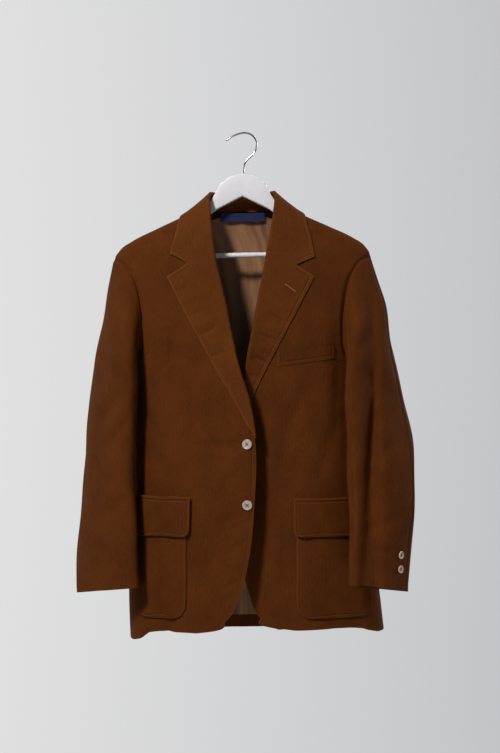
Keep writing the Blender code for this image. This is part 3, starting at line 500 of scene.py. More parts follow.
def dot(first, second):
    return np.sum(first * second, axis=-1, keepdims=True)


def folds(table, x, z):
    """The sum of the long soft folds at a place on the cloth."""
    total = np.zeros(np.broadcast(x, z).shape)
    for x_top, z_top, x_bottom, z_bottom, half_width, height in table:
        share = np.clip((z_top - z) / (z_top - z_bottom), 0, 1)
        off_line = x - (x_top + share * (x_bottom - x_top))
        total = total + height * np.exp(-((off_line / half_width) ** 2)) * ease(z_top - z, 0, 0.09)
    return total


def creases(table, x, z):
    """The sum of creases at places on the cloth; each fades at both ends and bows a little."""
    total = np.zeros(np.broadcast(x, z).shape)
    for x0, z0, x1, z1, half_width, height, bow in table:
        run, fall = x1 - x0, z1 - z0
        length = math.hypot(run, fall)
        share = ((x - x0) * run + (z - z0) * fall) / length**2
        off_line = ((x - x0) * fall - (z - z0) * run) / length
        share = np.clip(share, 0, 1)
        off_line = off_line - bow * np.sin(np.pi * share)
        fading = np.sin(np.pi * share) ** 0.8
        total = total + height * fading * np.exp(-((off_line / half_width) ** 2))
    return total


def lapel_puckers(side):
    """The puckers of a lapel as creases square to its edge."""
    name = "right" if side == RIGHT else "left"
    rows = []
    for share, length, half_width, height in LAPEL_PUCKERS[side]:
        z = LAPEL_TIP + share * (BREAK - LAPEL_TIP)
        x = float(read(LAPEL, LAPEL_COLUMNS, name, z))
        below = float(read(LAPEL, LAPEL_COLUMNS, name, z - 0.01))
        run, fall = x - below, 0.01
        reach = length / math.hypot(run, fall)
        inward = (x - side * fall * reach, z + side * run * reach)
        rows.append((x, z, *inward, half_width, height, 0.002))
    return rows


def body_relief(face, side, x, z):
    """How far the cloth of the body stands out of its form."""
    total = creases(BODY_CREASES[face, side], x, z)
    if face == "front":
        total = total + creases(lapel_puckers(side), x, z)
    for across, down, phase, height in BODY_WAVES:
        total = total + height * np.sin(2 * np.pi * (across * x + down * z) + phase + side)
    if face == "back":
        # The centre back seam lies flat, so that its two sides meet.
        total = total * ease(np.abs(x - MIDDLE), 0.0, 0.035)
    return total


def sleeve_relief(side, height, facing):
    """How far the cloth of a sleeve stands out of its form."""
    arc = METRES_A_DEGREE
    table = [(a * arc, b, c * arc, d, w, h, bow) for a, b, c, d, w, h, bow in SLEEVE_CREASES[side]]
    around = np.mod(facing, 360) * arc
    total = creases(table, around, height)
    for turns, down, phase, tall in SLEEVE_WAVES:
        total = total + tall * np.sin(np.radians(turns * facing) + 2 * np.pi * down * height + phase + side)
    return total * ease(SHOULDER_TIP - 0.02 - height, 0, 0.08)


def shoulder_height(across):
    return read(SHOULDER, SHOULDER_COLUMNS, "height", np.abs(across))


def share_up(rise):
    return np.sin(np.radians(rise)) ** (2 / TOP_ROUNDNESS)


def body_row(side, level, rise):
    """Half width, front, back and side distances and squareness of a row of the body."""
    nominal = level + share_up(rise) * (SHOULDER_TIP - ARMPIT)
    width = "right" if side == RIGHT else "left"
    names = (width, "front", "back", "side", "square")
    return [read(BODY, BODY_COLUMNS, name, nominal) for name in names]


def surface(side, across, level, rise):
    """A point of the jacket's outer form.

    across is from the middle towards the side. Below the armpit level gives the height and
    rise is 0 on the front or 180 on the back; above it level is ARMPIT and rise turns over
    the shoulder from 0 through 90 at the shoulder line to 180.
    """
    half_width, front, back, flank, square = body_row(side, level, rise)
    on_back = rise > 90
    square = np.where(on_back, BACK_SQUARENESS, square)
    ratio = np.clip(np.abs(across) / half_width, 0, 1)
    fullness = (1 - ratio**square) ** (1 / square)
    depth = np.where(on_back, flank + (back - flank) * fullness, flank - (front + flank) * fullness)
    closing = np.abs(np.cos(np.radians(rise))) ** (2 / TOP_ROUNDNESS)
    x = MIDDLE + side * across
    z = level + share_up(rise) * (shoulder_height(across) - ARMPIT) + TILT * side * across
    forward = np.where(on_back, 0.0, folds(FRONT_FOLDS[side], x, z) * fullness * closing)
    relief = np.where(on_back, -body_relief("back", side, x, z), body_relief("front", side, x, z))
    forward = forward + relief * fullness * closing
    return np.stack([x, depth * closing - forward, z], axis=-1)


def rise_at(across, height):
    """The level and rise of a place on the front given by its height."""
    up = np.clip((height - ARMPIT) / (shoulder_height(across) - ARMPIT), 0, 1)
    rise = np.degrees(np.arcsin(up ** (TOP_ROUNDNESS / 2)))
    return np.minimum(height, ARMPIT), rise


def front_at(side, x, z):
    """The front's outer surface at a place seen from the front."""
    across = (x - MIDDLE) * side
    level, rise = rise_at(across, z - TILT * side * across)
    return surface(side, across, level, rise)


def spread(side, inner, outer, level, rise, count):
    """Distances across a row, evenly turned round the body's section."""
    half_width, _, _, _, square = body_row(side, level, rise)
    square = np.where(rise > 90, BACK_SQUARENESS, square)
    ends = []
    for end in (inner, outer):
        ratio = np.clip(np.abs(end) / half_width, 0, 1)
        ends.append(np.sign(end) * np.arcsin(ratio ** (square / 2)))
    turn = ends[0] + (ends[1] - ends[0]) * np.linspace(0, 1, count)
    return half_width * np.sign(turn) * np.abs(np.sin(turn)) ** (2 / square)


def grid_normals(points, facing=1):
    """Unit normals of a grid, as rows run along its first axis and columns its second."""
    along = np.gradient(points, axis=0)
    across = np.gradient(points, axis=1)
    normals = np.cross(across, along) * facing
    return normals / np.maximum(np.linalg.norm(normals, axis=-1, keepdims=True), 1e-12)


def softened(normals):
    """Normals evened out between neighbours, so that a tight fold keeps its thickness."""
    for _ in range(2):
        beside = normals.copy()
        beside[:, 1:-1] += (normals[:, 2:] + normals[:, :-2]) / 2
        normals = beside.copy()
        normals[1:-1] += (beside[2:] + beside[:-2]) / 2
        normals = unit(normals)
    return normals


def raised(points, facing, height):
    """The grid's points moved out by a height, one for all or one for each point."""
    return points + grid_normals(points, facing) * np.asarray(height)[..., None]


def pulled_in(points, edges, distance=HALF_SEAM):
    """The grid with the named edges drawn in, which leaves half of a seam's gap."""
    points = points.copy()
    pairs = {"first_row": (0, 1), "last_row": (-1, -2)}
    for edge in edges:
        if edge in pairs:
            end, beside = pairs[edge]
            step = points[beside] - points[end]
            points[end] += step / np.linalg.norm(step, axis=-1, keepdims=True) * distance
        else:
            end, beside = (0, 1) if edge == "first_column" else (-1, -2)
            step = points[:, beside] - points[:, end]
            points[:, end] += step / np.linalg.norm(step, axis=-1, keepdims=True) * distance
    return points


def halves_of(first, columns):
    """The two triangles of a grid's square, by the index of its first corner."""
    opposite = first + columns + 1
    return (first, first + 1, opposite), (first, opposite, first + columns)


# ---------------------------------------------------------------- body panels


def armhole(side, face):
    """The armhole's places from the armpit up to the shoulder tip: across, level and rise."""
    across = column(ARMHOLE, ARMHOLE_COLUMNS, "across_" + face)
    height = column(ARMHOLE, ARMHOLE_COLUMNS, "height_" + face)
    length = np.append(0, np.cumsum(np.hypot(np.diff(across), np.diff(height))))
    stops = length[-1] * np.linspace(1, 0, ARMHOLE_STEPS + 1) ** TIP_CROWDING
    across = smooth_curve(length, across, stops)
    height = smooth_curve(length, height, stops)
    _, rise = rise_at(across, height)
    rise[0], rise[-1] = 0.0, 90.0
    at_armpit, _, _, _, _ = body_row(side, ARMPIT, 0.0)
    across[0] = at_armpit
    return across, rise if face == "front" else 180 - rise


def hem_height(face, share):
    """The hem drops from the centre front to the side and runs level round the back."""
    if face == "back":
        return -0.919
    return -0.906 - 0.013 * ease(share, 0.35, 0.8)


def neck_seam(side, along):
    """The neck seam at shares along the collar's half: distance across and turn over the top."""
    sway = COLLAR_SWAY * (1 - ease(along, 0, AT_SHOULDER)) * side
    return read(COLLAR, COLLAR_COLUMNS, "seam_across", along) - sway, read(
        COLLAR, COLLAR_COLUMNS, "seam_turn", along
    )


def front_inner(side, height):
    """The front's inner boundary: its edge and roll line, then the neck seam."""
    name = "right" if side == RIGHT else "left"
    edge = (read(EDGE, EDGE_COLUMNS, name, height) - MIDDLE) * side
    across, turn = neck_seam(side, np.linspace(0, AT_SHOULDER, 13))
    seam_height = surface(side, across, ARMPIT, turn)[:, 2]
    return np.where(height > seam_height[0], np.interp(height, seam_height, across), edge)


def back_inner(side, share):
    """How far the back neck's seam is from the middle at a share of the way up the back."""
    across, turn = neck_seam(side, np.linspace(1, AT_SHOULDER, 13))
    return np.interp(share, share_up(turn), across, left=0.0)


def front_grid(side):
    """A front from its hem to the armpit, then up between its inner edge and the armhole."""
    shares = (np.arange(UP_TO_ARMPIT) / UP_TO_ARMPIT) ** 1.7
    across_shares = np.linspace(0, 1, PANEL_ACROSS)
    rows = []
    for share in shares:
        sag = HEM_SAG[side] * ease(across_shares, 0.52, 0.60) * (1 - ease(across_shares, 0.90, 1.0))
        level = (hem_height("front", across_shares) - sag) * (1 - share) + ARMPIT * share
        width = body_row(side, level[-1], 0.0)[0]
        inner = front_inner(side, level[0])
        across = spread(side, inner, width, level, 0.0, PANEL_ACROSS)
        rows.append(surface(side, across, level, np.zeros(PANEL_ACROSS)))
    for outer, rise in zip(*armhole(side, "front")):
        inner = 0.07
        for _ in range(12):
            height = ARMPIT + share_up(rise) * (shoulder_height(inner) - ARMPIT)
            inner = front_inner(side, height + TILT * side * inner)
        across = spread(side, inner, outer, ARMPIT, rise, PANEL_ACROSS)
        rows.append(surface(side, across, ARMPIT, np.full(PANEL_ACROSS, rise)))
    return np.array(rows)


def back_grid(side):
    """A back from its hem to the armpit, then up between the neck and the armhole."""
    shares = (np.arange(UP_TO_ARMPIT) / UP_TO_ARMPIT) ** 1.7
    rows = []
    for share in shares:
        level = hem_height("back", 0) * (1 - share) + ARMPIT * share
        width = body_row(side, level, 180.0)[0]
        across = spread(side, 0.0, width, level, 180.0, PANEL_ACROSS)
        rows.append(surface(side, across, level, np.full(PANEL_ACROSS, 180.0)))
    for outer, rise in zip(*armhole(side, "back")):
        across = spread(side, back_inner(side, share_up(rise)), outer, ARMPIT, rise, PANEL_ACROSS)
        rows.append(surface(side, across, ARMPIT, np.full(PANEL_ACROSS, rise)))
    return np.array(rows)


# ---------------------------------------------------------------- sleeves


def sleeve_section(side, height, facing):
    """A point of the sleeve's section; facing is 0 outward, 90 forward, 180 to the body."""
    table = SLEEVES[side]
    across, forward, long, short, lean = (
        read(table, SLEEVE_COLUMNS, name, height) for name in SLEEVE_COLUMNS[1:]
    )
    lean = np.radians(lean)
    turn = np.radians(facing) + lean
    out = across + long * np.cos(turn) * np.cos(lean) + short * np.sin(turn) * np.sin(lean)
    deep = -forward + long * np.cos(turn) * np.sin(lean) - short * np.sin(turn) * np.cos(lean)
    x = MIDDLE + side * out
    front_share = np.clip(np.sin(np.radians(facing)) * 2, 0, 1)
    deep = deep - folds(SLEEVE_FOLDS[side], x, height) * front_share
    bulge = sleeve_relief(side, height, facing)
    deep = deep - bulge * np.sin(np.radians(facing))
    x = x + side * bulge * np.cos(np.radians(facing))
    return np.stack([x, deep, height + 0 * x], axis=-1)


def cuff_height(side, facing):
    turn = np.radians(facing)
    return CUFF[side] - CUFF_OUTER_DROP * np.cos(turn) + CUFF_BACK_DROP * np.sin(turn)


def sleeve_grid(side, front, back):
    """Rows from the armhole down to the cuff; columns start at the shoulder tip, run down
    the front of the armhole, and come up its back to the tip again."""
    head = np.concatenate([front[:-1][::-1], back[1:]])
    head = np.concatenate([back[-1:], head[:-1], head[-1:]])
    down = np.linspace(0, 1, ARMHOLE_STEPS + 1) ** HEAD_CROWDING
    to_armpit = np.concatenate([down, down[-2::-1]])
    facing = ARMPIT_FACING * to_armpit
    facing[ARMHOLE_STEPS:] = 360 - (360 - ARMPIT_FACING) * to_armpit[ARMHOLE_STEPS:]
    foot_height = cuff_height(side, facing)
    shares = (np.arange(SLEEVE_DOWN + 1) / SLEEVE_DOWN) ** 1.25
    reach = REACH_AT_TIP + (REACH_AT_ARMPIT - REACH_AT_TIP) * to_armpit
    gap = sleeve_section(side, head[:, 2], facing) - head
    rows = []
    for share in shares:
        height = head[:, 2] + share * (foot_height - head[:, 2])
        fading = np.clip(1 - share / reach, 0, 1) ** 2
        rows.append(sleeve_section(side, height, facing) - gap * fading[..., None])
    return np.array(rows)


# ---------------------------------------------------------------- collar and lapels


def corner(share):
    """A tent that is 1 at the notch's inner corner and 0 at both ends."""
    return np.where(share < NOTCH_SHARE, share / NOTCH_SHARE, (1 - share) / (1 - NOTCH_SHARE))


def lapel_grid(side):
    """The lapel from the gorge down to the break; columns go round the roll, then outward."""
    name = "right" if side == RIGHT else "left"
    down = np.linspace(0, 1.016, LAPEL_ROWS)[:, None]
    out = np.linspace(0, 1, LEAF_COLUMNS)[None, :]
    roll_z = GORGE + down * (BREAK - GORGE)
    edge_z = LAPEL_TIP + down * (BREAK - LAPEL_TIP)
    roll_x = read(EDGE, EDGE_COLUMNS, name, roll_z)
    edge_x = read(LAPEL, LAPEL_COLUMNS, name, edge_z)
    narrowing = 1 - 0.8 * ease(down, 0.94, 1.016)
    x = roll_x + out * (edge_x - roll_x) * narrowing
    z = roll_z + out * (edge_z - roll_z)
    z = z + LAPEL_NOTCH * corner(out) * np.clip(1 - down / 0.14, 0, 1)
    base = front_at(side, x, z)
    normals = grid_normals(base, -side)
    rise = ROLL_RISE_TOP + down * (ROLL_RISE_BREAK - ROLL_RISE_TOP)
    stand = LAPEL_WALL + LYING_GAP * (1.6 - narrowing) / 0.6 * 0.5 + rise * (1 - out) ** 1.5
    face = base + normals * stand[..., None]
    inward = base[:, :1] - base[:, 1:2]
    inward = inward / np.linalg.norm(inward, axis=-1, keepdims=True)
    radius = (WALL + stand[:, :1, None]) / 2
    centre = base[:, :1] + normals[:, :1] * (radius - WALL) + inward * 2 * HALF_SEAM
    turn = np.radians(np.linspace(0, 180, ROLL_COLUMNS + 1))[None, :-1, None]
    roll = centre + radius * (inward * np.sin(turn) - normals[:, :1] * np.cos(turn))
    grid = np.concatenate([roll, face], axis=1)
    grid_facing = grid_normals(grid, -side)
    grid_facing[:, 0] = -normals[:, 0]
    return grid, grid_facing


def collar_grid():
    """The collar from the right gorge round the back neck to the left gorge; columns go up
    the stand on the neck's side, over the roll and down the fall."""
    along = np.linspace(0, 1, COLLAR_STATIONS)
    out = np.linspace(0, 1, LEAF_COLUMNS)[None, :]
    halves = []
    for side in (RIGHT, LEFT):
        _, _, roll_x, roll_y, roll_z, edge_across, edge_turn = (
            read(COLLAR, COLLAR_COLUMNS, name, along)[:, None] for name in COLLAR_COLUMNS[1:]
        )
        seam_across, seam_turn = (values[:, None] for values in neck_seam(side, along))
        roll_x = roll_x - COLLAR_SWAY * (1 - ease(along[:, None], 0, AT_SHOULDER)) * side
        across = seam_across + out * (edge_across - seam_across)
        over = seam_turn + out * (edge_turn - seam_turn)
        near_end = 1 - ease(along[:, None], 0, 0.3)
        over = over - COLLAR_CORNER[side] * out * near_end
        over = over - COLLAR_NOTCH_TURN * corner(out) * np.clip(1 - along[:, None] / 0.16, 0, 1)
        leaning = roll_z + TILT * side * roll_x
        roll = np.concatenate([MIDDLE + side * roll_x, roll_y, leaning], axis=1)
        halves.append((surface(side, across, ARMPIT, over), roll))
    base = np.concatenate([halves[0][0], halves[1][0][::-1][1:]])
    roll = np.concatenate([halves[0][1], halves[1][1][::-1][1:]])
    there_and_back = np.concatenate([along, along[::-1][1:]])[:, None]
    radius = smooth_step_between(COLLAR_ROLL_GORGE, COLLAR_ROLL_NECK, there_and_back)
    normals = grid_normals(base, -1)
    seam = base[:, 0]
    outward = unit(base[:, 1] - seam)
    apex = unit(roll - seam)
    beside = unit(outward - apex * dot(outward, apex))
    centre = roll - apex * radius
    leaf = base + normals * COLLAR_STAND_OFF
    start = centre + beside * radius
    leaf = leaf + (start - leaf[:, 0])[:, None] * (1 - out[..., None]) ** 1.6
    turn = np.radians(np.linspace(180, 0, ROLL_COLUMNS + 1))[None, :-1, None]
    around = beside[:, None] * np.cos(turn) + apex[:, None] * np.sin(turn)
    arc = centre[:, None] + around * radius[:, None]
    leaning_over = np.sqrt(np.maximum(0, 1 - dot(outward, apex) ** 2))
    foot = seam - normals[:, 0] * WALL - outward * (COLLAR_SEAM_GAP + WALL * leaning_over)
    up = np.linspace(0, 1, STAND_COLUMNS + 1)[None, :-1, None]
    stand = foot[:, None] + (arc[:, :1] - foot[:, None]) * up
    return np.concatenate([stand, arc, leaf], axis=1)


# ---------------------------------------------------------------- pieces on the fronts


def landed(front, x, z):
    """Points of the front's own faces straight behind places seen from the front."""
    rows, columns = front.shape[:2]
    faces = []
    for row in range(rows - 1):
        for col in range(columns - 1):
            faces.extend(halves_of(row * columns + col, columns))
    tree = BVHTree.FromPolygons([tuple(p) for p in front.reshape(-1, 3)], faces)
    points = []
    for x_, z_ in zip(x.ravel(), z.ravel()):
        place, _, _, _ = tree.ray_cast((x_, -1.0, z_), (0.0, 1.0, 0.0))
        points.append(tuple(place))
    return np.array(points).reshape(*x.shape, 3)


def rounded_patch(box, rows=8, columns=8):
    """A patch seen flat, its lower corners rounded: x and z of each grid point."""
    inner, outer_foot, outer_top, bottom, top, radius = box
    up = (np.arange(rows) / (rows - 1)) ** 1.6
    z = bottom + up * (top - bottom)
    into_corner = np.clip((bottom + radius - z) / radius, 0, 1)
    inset = radius * (1 - np.sqrt(1 - (into_corner * 0.96) ** 2))
    direction = np.sign(outer_top - inner)
    start = inner + direction * inset
    end = outer_foot + up * (outer_top - outer_foot) - direction * inset
    share = np.linspace(0, 1, columns)[None, :]
    return start[:, None] + share * (end - start)[:, None], z[:, None] + 0 * share


def patch_on(side, front, box, stand, bulge, swing, rows=PATCH_FINE, columns=PATCH_FINE):
    """A patch's outer points: stand off the front, bulge in its middle, swing at its foot."""
    x, z = rounded_patch(box, rows, columns)
    base = landed(front, x, z)
    up = np.linspace(0, 1, rows)[:, None]
    share = np.linspace(0, 1, columns)[None, :]
    dome = np.sin(np.pi * share) * np.sin(np.pi / 2 * np.clip(up * 1.6, 0, 1))
    height = stand + bulge * dome + swing * (1 - up) ** 2
    return raised(base, side, height)


def welt_on(front):
    """The breast pocket's welt, a band that climbs towards the arm."""
    share = np.linspace(0, 1, 60)[None, :]
    down = np.linspace(1, 0, 14)[:, None]
    x = WELT_INNER + share * (WELT_OUTER - WELT_INNER) + 0 * down
    z = WELT_TOP_INNER + share * (WELT_TOP_OUTER - WELT_TOP_INNER) - down * WELT_DEPTH
    return raised(landed(front, x, z), LEFT, WELT_STAND)


# ---------------------------------------------------------------- sewing


def share_normals(first, first_at, second, second_at):
    """Both pieces of a seam take one direction of thickness, so that their edges mitre."""
    middle = unit(first[first_at] + second[second_at])
    lean = np.maximum(dot(first[first_at], middle), 0.6)
    first[first_at] = middle / lean
    second[second_at] = middle / lean


def body_and_sleeves():
    """The fronts, backs and sleeves, seamed to each other."""
    outer, normals = {}, {}
    steps, first_up = ARMHOLE_STEPS, UP_TO_ARMPIT
    for side, word in WORDS.items():
        front, back = front_grid(side), back_grid(side)
        sleeve = sleeve_grid(side, front[first_up:, -1], back[first_up:, -1])
        wrapped = np.concatenate([sleeve[:, -4:-1], sleeve, sleeve[:, 1:4]], axis=1)
        outer["front_" + word], normals["front_" + word] = front, grid_normals(front, side)
        outer["back_" + word], normals["back_" + word] = back, grid_normals(back, -side)
        outer["sleeve_" + word] = sleeve
        normals["sleeve_" + word] = softened(grid_normals(wrapped, side))[:, 3:-3]
    share_normals(normals["back_right"], np.s_[:, 0], normals["back_left"], np.s_[:, 0])
    for word in WORDS.values():
        front, back = normals["front_" + word], normals["back_" + word]
        sleeve = normals["sleeve_" + word]
        share_normals(front, np.s_[: first_up + 1, -1], back, np.s_[: first_up + 1, -1])
        share_normals(front, np.s_[-1, :], back, np.s_[-1, :])
        share_normals(sleeve, np.s_[0, steps:0:-1], front, np.s_[first_up:-1, -1])
        share_normals(sleeve, np.s_[0, steps:], back, np.s_[first_up:, -1])
        sleeve[0, 0] = sleeve[0, -1]
        front[-1, -1] = back[-1, -1]
        front[first_up, -1] = back[first_up, -1]
    return outer, normals




# ---------------------------------------------------------------- meshes


def mesh_of(name, points, faces, material, uv=None, from_edge=None, crease=40):
    """A smooth mesh. uv is metres of cloth across and along it, from_edge metres from a hem."""
    points = np.asarray(points, float).reshape(-1, 3)
    mesh = bpy.data.meshes.new(name)
    mesh.from_pydata(points, [], faces)
    mesh.update()
    mesh.shade_smooth()
    mesh.set_sharp_from_angle(angle=math.radians(crease))
    mesh.materials.append(material)
    if uv is not None:
        corners = np.empty(len(mesh.loops), int)
        mesh.loops.foreach_get("vertex_index", corners)
        layer = mesh.uv_layers.new(name="cloth")
        layer.data.foreach_set("uv", uv.reshape(-1, 2)[corners].ravel())
    if from_edge is not None:
        layer = mesh.attributes.new("from_edge", "FLOAT", "POINT")
        layer.data.foreach_set("value", from_edge.ravel())
    thing = bpy.data.objects.new(name, mesh)
    bpy.context.scene.collection.objects.link(thing)
    return thing


def turned_out(points, faces):
    """The faces, flipped if they face into the solid."""
    a, b, c = (points[faces[:, i]] for i in range(3))
    inside_out = np.sum(a * np.cross(b, c)) < 0
    return faces[:, ::-1] if inside_out else faces


def steps_along(grid, axis):
    """Metres run along one axis of a grid from its start."""
    step = np.linalg.norm(np.diff(grid, axis=axis), axis=-1)
    run = np.cumsum(step, axis=axis)
    start = np.zeros_like(np.take(run, [0], axis=axis))
    return np.concatenate([start, run], axis=axis)


def edge_distances(grid, edges):
    """How far each point is from the nearest of the named edges, over the cloth."""
    across, along = steps_along(grid, 1), steps_along(grid, 0)
    choices = {
        "first_column": across,
        "last_column": across[:, -1:] - across,
        "first_row": along,
        "last_row": along[-1:] - along,
    }
    nearest = np.full(grid.shape[:2], FAR_FROM_EDGE)
    for edge in edges:
        nearest = np.minimum(nearest, choices[edge])
    return nearest


def grain_of(grid, start=0.0):
    """Metres across the wales and along them; start is how far the first column is out."""
    across = steps_along(grid, 1) + np.broadcast_to(start, grid.shape[:1])[:, None]
    middle = grid.shape[1] // 2
    along = steps_along(grid[:, middle : middle + 1], 0) + np.zeros(grid.shape[:2])
    return np.stack([across, along], axis=-1)


def shell(name, outer, inward, thickness, material, uv, from_edge):
    """A closed thin wall of cloth behind a grid of points."""
    rows, columns = outer.shape[:2]
    inner = outer + inward * thickness
    points = np.concatenate([outer.reshape(-1, 3), inner.reshape(-1, 3)])
    first = (np.arange(rows - 1)[:, None] * columns + np.arange(columns - 1)).ravel()
    face = np.stack([first, first + 1, first + columns + 1, first + columns], axis=-1)
    behind = rows * columns
    rim = np.concatenate([
        np.arange(columns),
        np.arange(1, rows) * columns + columns - 1,
        (rows - 1) * columns + np.arange(columns - 2, -1, -1),
        np.arange(rows - 2, 0, -1) * columns,
    ])
    after = np.roll(rim, -1)
    sides = np.stack([after, rim, rim + behind, after + behind], axis=-1)
    faces = turned_out(points, np.concatenate([face, face[:, ::-1] + behind, sides]))
    twice = np.concatenate([uv.reshape(-1, 2)] * 2)
    distances = np.concatenate([from_edge.ravel()] * 2)
    return mesh_of(name, points, faces.tolist(), material, twice, distances, RIM_CREASE)


def loft(name, rings, material, crease=40):
    """A closed solid through rings of the same number of points, with flat ends."""
    rings = np.asarray(rings)
    count, around = rings.shape[:2]
    points = rings.reshape(-1, 3)
    here = np.arange(around)
    after = np.roll(here, -1)
    ring = (np.arange(count - 1) * around)[:, None]
    quads = np.stack([ring + after, ring + here, ring + here + around, ring + after + around], -1)
    quads = quads.reshape(-1, 4)
    flipped = turned_out(points, quads)
    ends = [list(here), list(reversed(here + (count - 1) * around))]
    if flipped[0][0] != quads[0][0]:
        ends = [list(reversed(end)) for end in ends]
    faces = flipped.tolist() + [[int(i) for i in end] for end in ends]
    return mesh_of(name, points, faces, material, crease=crease)


def hand_over(piece, node):
    """The piece takes a solid's place in the frame."""
    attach(piece, "root")
    if node:
        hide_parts(node)


# ---------------------------------------------------------------- materials


def linear(text):
    """A colour such as 8a5a2b as the eye sees it, turned linear."""
    channels = [int(text[i : i + 2], 16) / 255 for i in (0, 2, 4)]
    return (*(c / 12.92 if c <= 0.04045 else ((c + 0.055) / 1.055) ** 2.4 for c in channels), 1.0)


PLUS, MINUS, TIMES, OVER = ({"operation": word} for word in ("ADD", "SUBTRACT", "MULTIPLY", "DIVIDE"))
SINE, ABSOLUTE = {"operation": "SINE"}, {"operation": "ABSOLUTE"}
CAPPED_PLUS = {"operation": "ADD", "use_clamp": True}
CAPPED_MINUS = {"operation": "SUBTRACT", "use_clamp": True}
MIXED = {"data_type": "RGBA", "blend_type": "MIX"}
DARKENED = {"data_type": "RGBA", "blend_type": "MULTIPLY"}


def add(tree, kind, settings=None, inputs=None):
    """Adds a node with its settings. An input takes a value, an output or a node's first output."""
    made = tree.nodes.new("ShaderNode" + kind)
    for key, value in (settings or {}).items():
        setattr(made, key, value)
    for key, source in (inputs or {}).items():
        if isinstance(source, bpy.types.Node):
            source = source.outputs[0]
        if isinstance(source, bpy.types.NodeSocket):
            tree.links.new(source, made.inputs[key])
        else:
            made.inputs[key].default_value = source
    return made


def fresh(name, **uniform):
    """A new material, its node tree and its shader, with the shader's uniform values set."""
    material = bpy.data.materials.new(name)
    material.use_nodes = True
    tree = material.node_tree
    shader = tree.nodes["Principled BSDF"]
    for key, value in uniform.items():
        shader.inputs[key.replace("_", " ")].default_value = value
    return material, tree, shader


def surfaced(material, tree, shader, colour, height):
    """The material, once its colour and its height in metres feed the shader."""
    tree.links.new(colour, shader.inputs["Base Color"])
    bump = add(tree, "Bump", None, {"Strength": 1.0, "Distance": 1.0, "Height": height})
    tree.links.new(bump.outputs[0], shader.inputs["Normal"])
    return material


def bell(tree, distance, middle, width):
    """1 at a distance from the edge, falling to 0 a width away either side of it."""
    off = add(tree, "Math", ABSOLUTE, {0: add(tree, "Math", MINUS, {0: distance, 1: middle})})
    return add(tree, "Math", CAPPED_MINUS, {0: 1.0, 1: add(tree, "Math", OVER, {0: off, 1: width})})


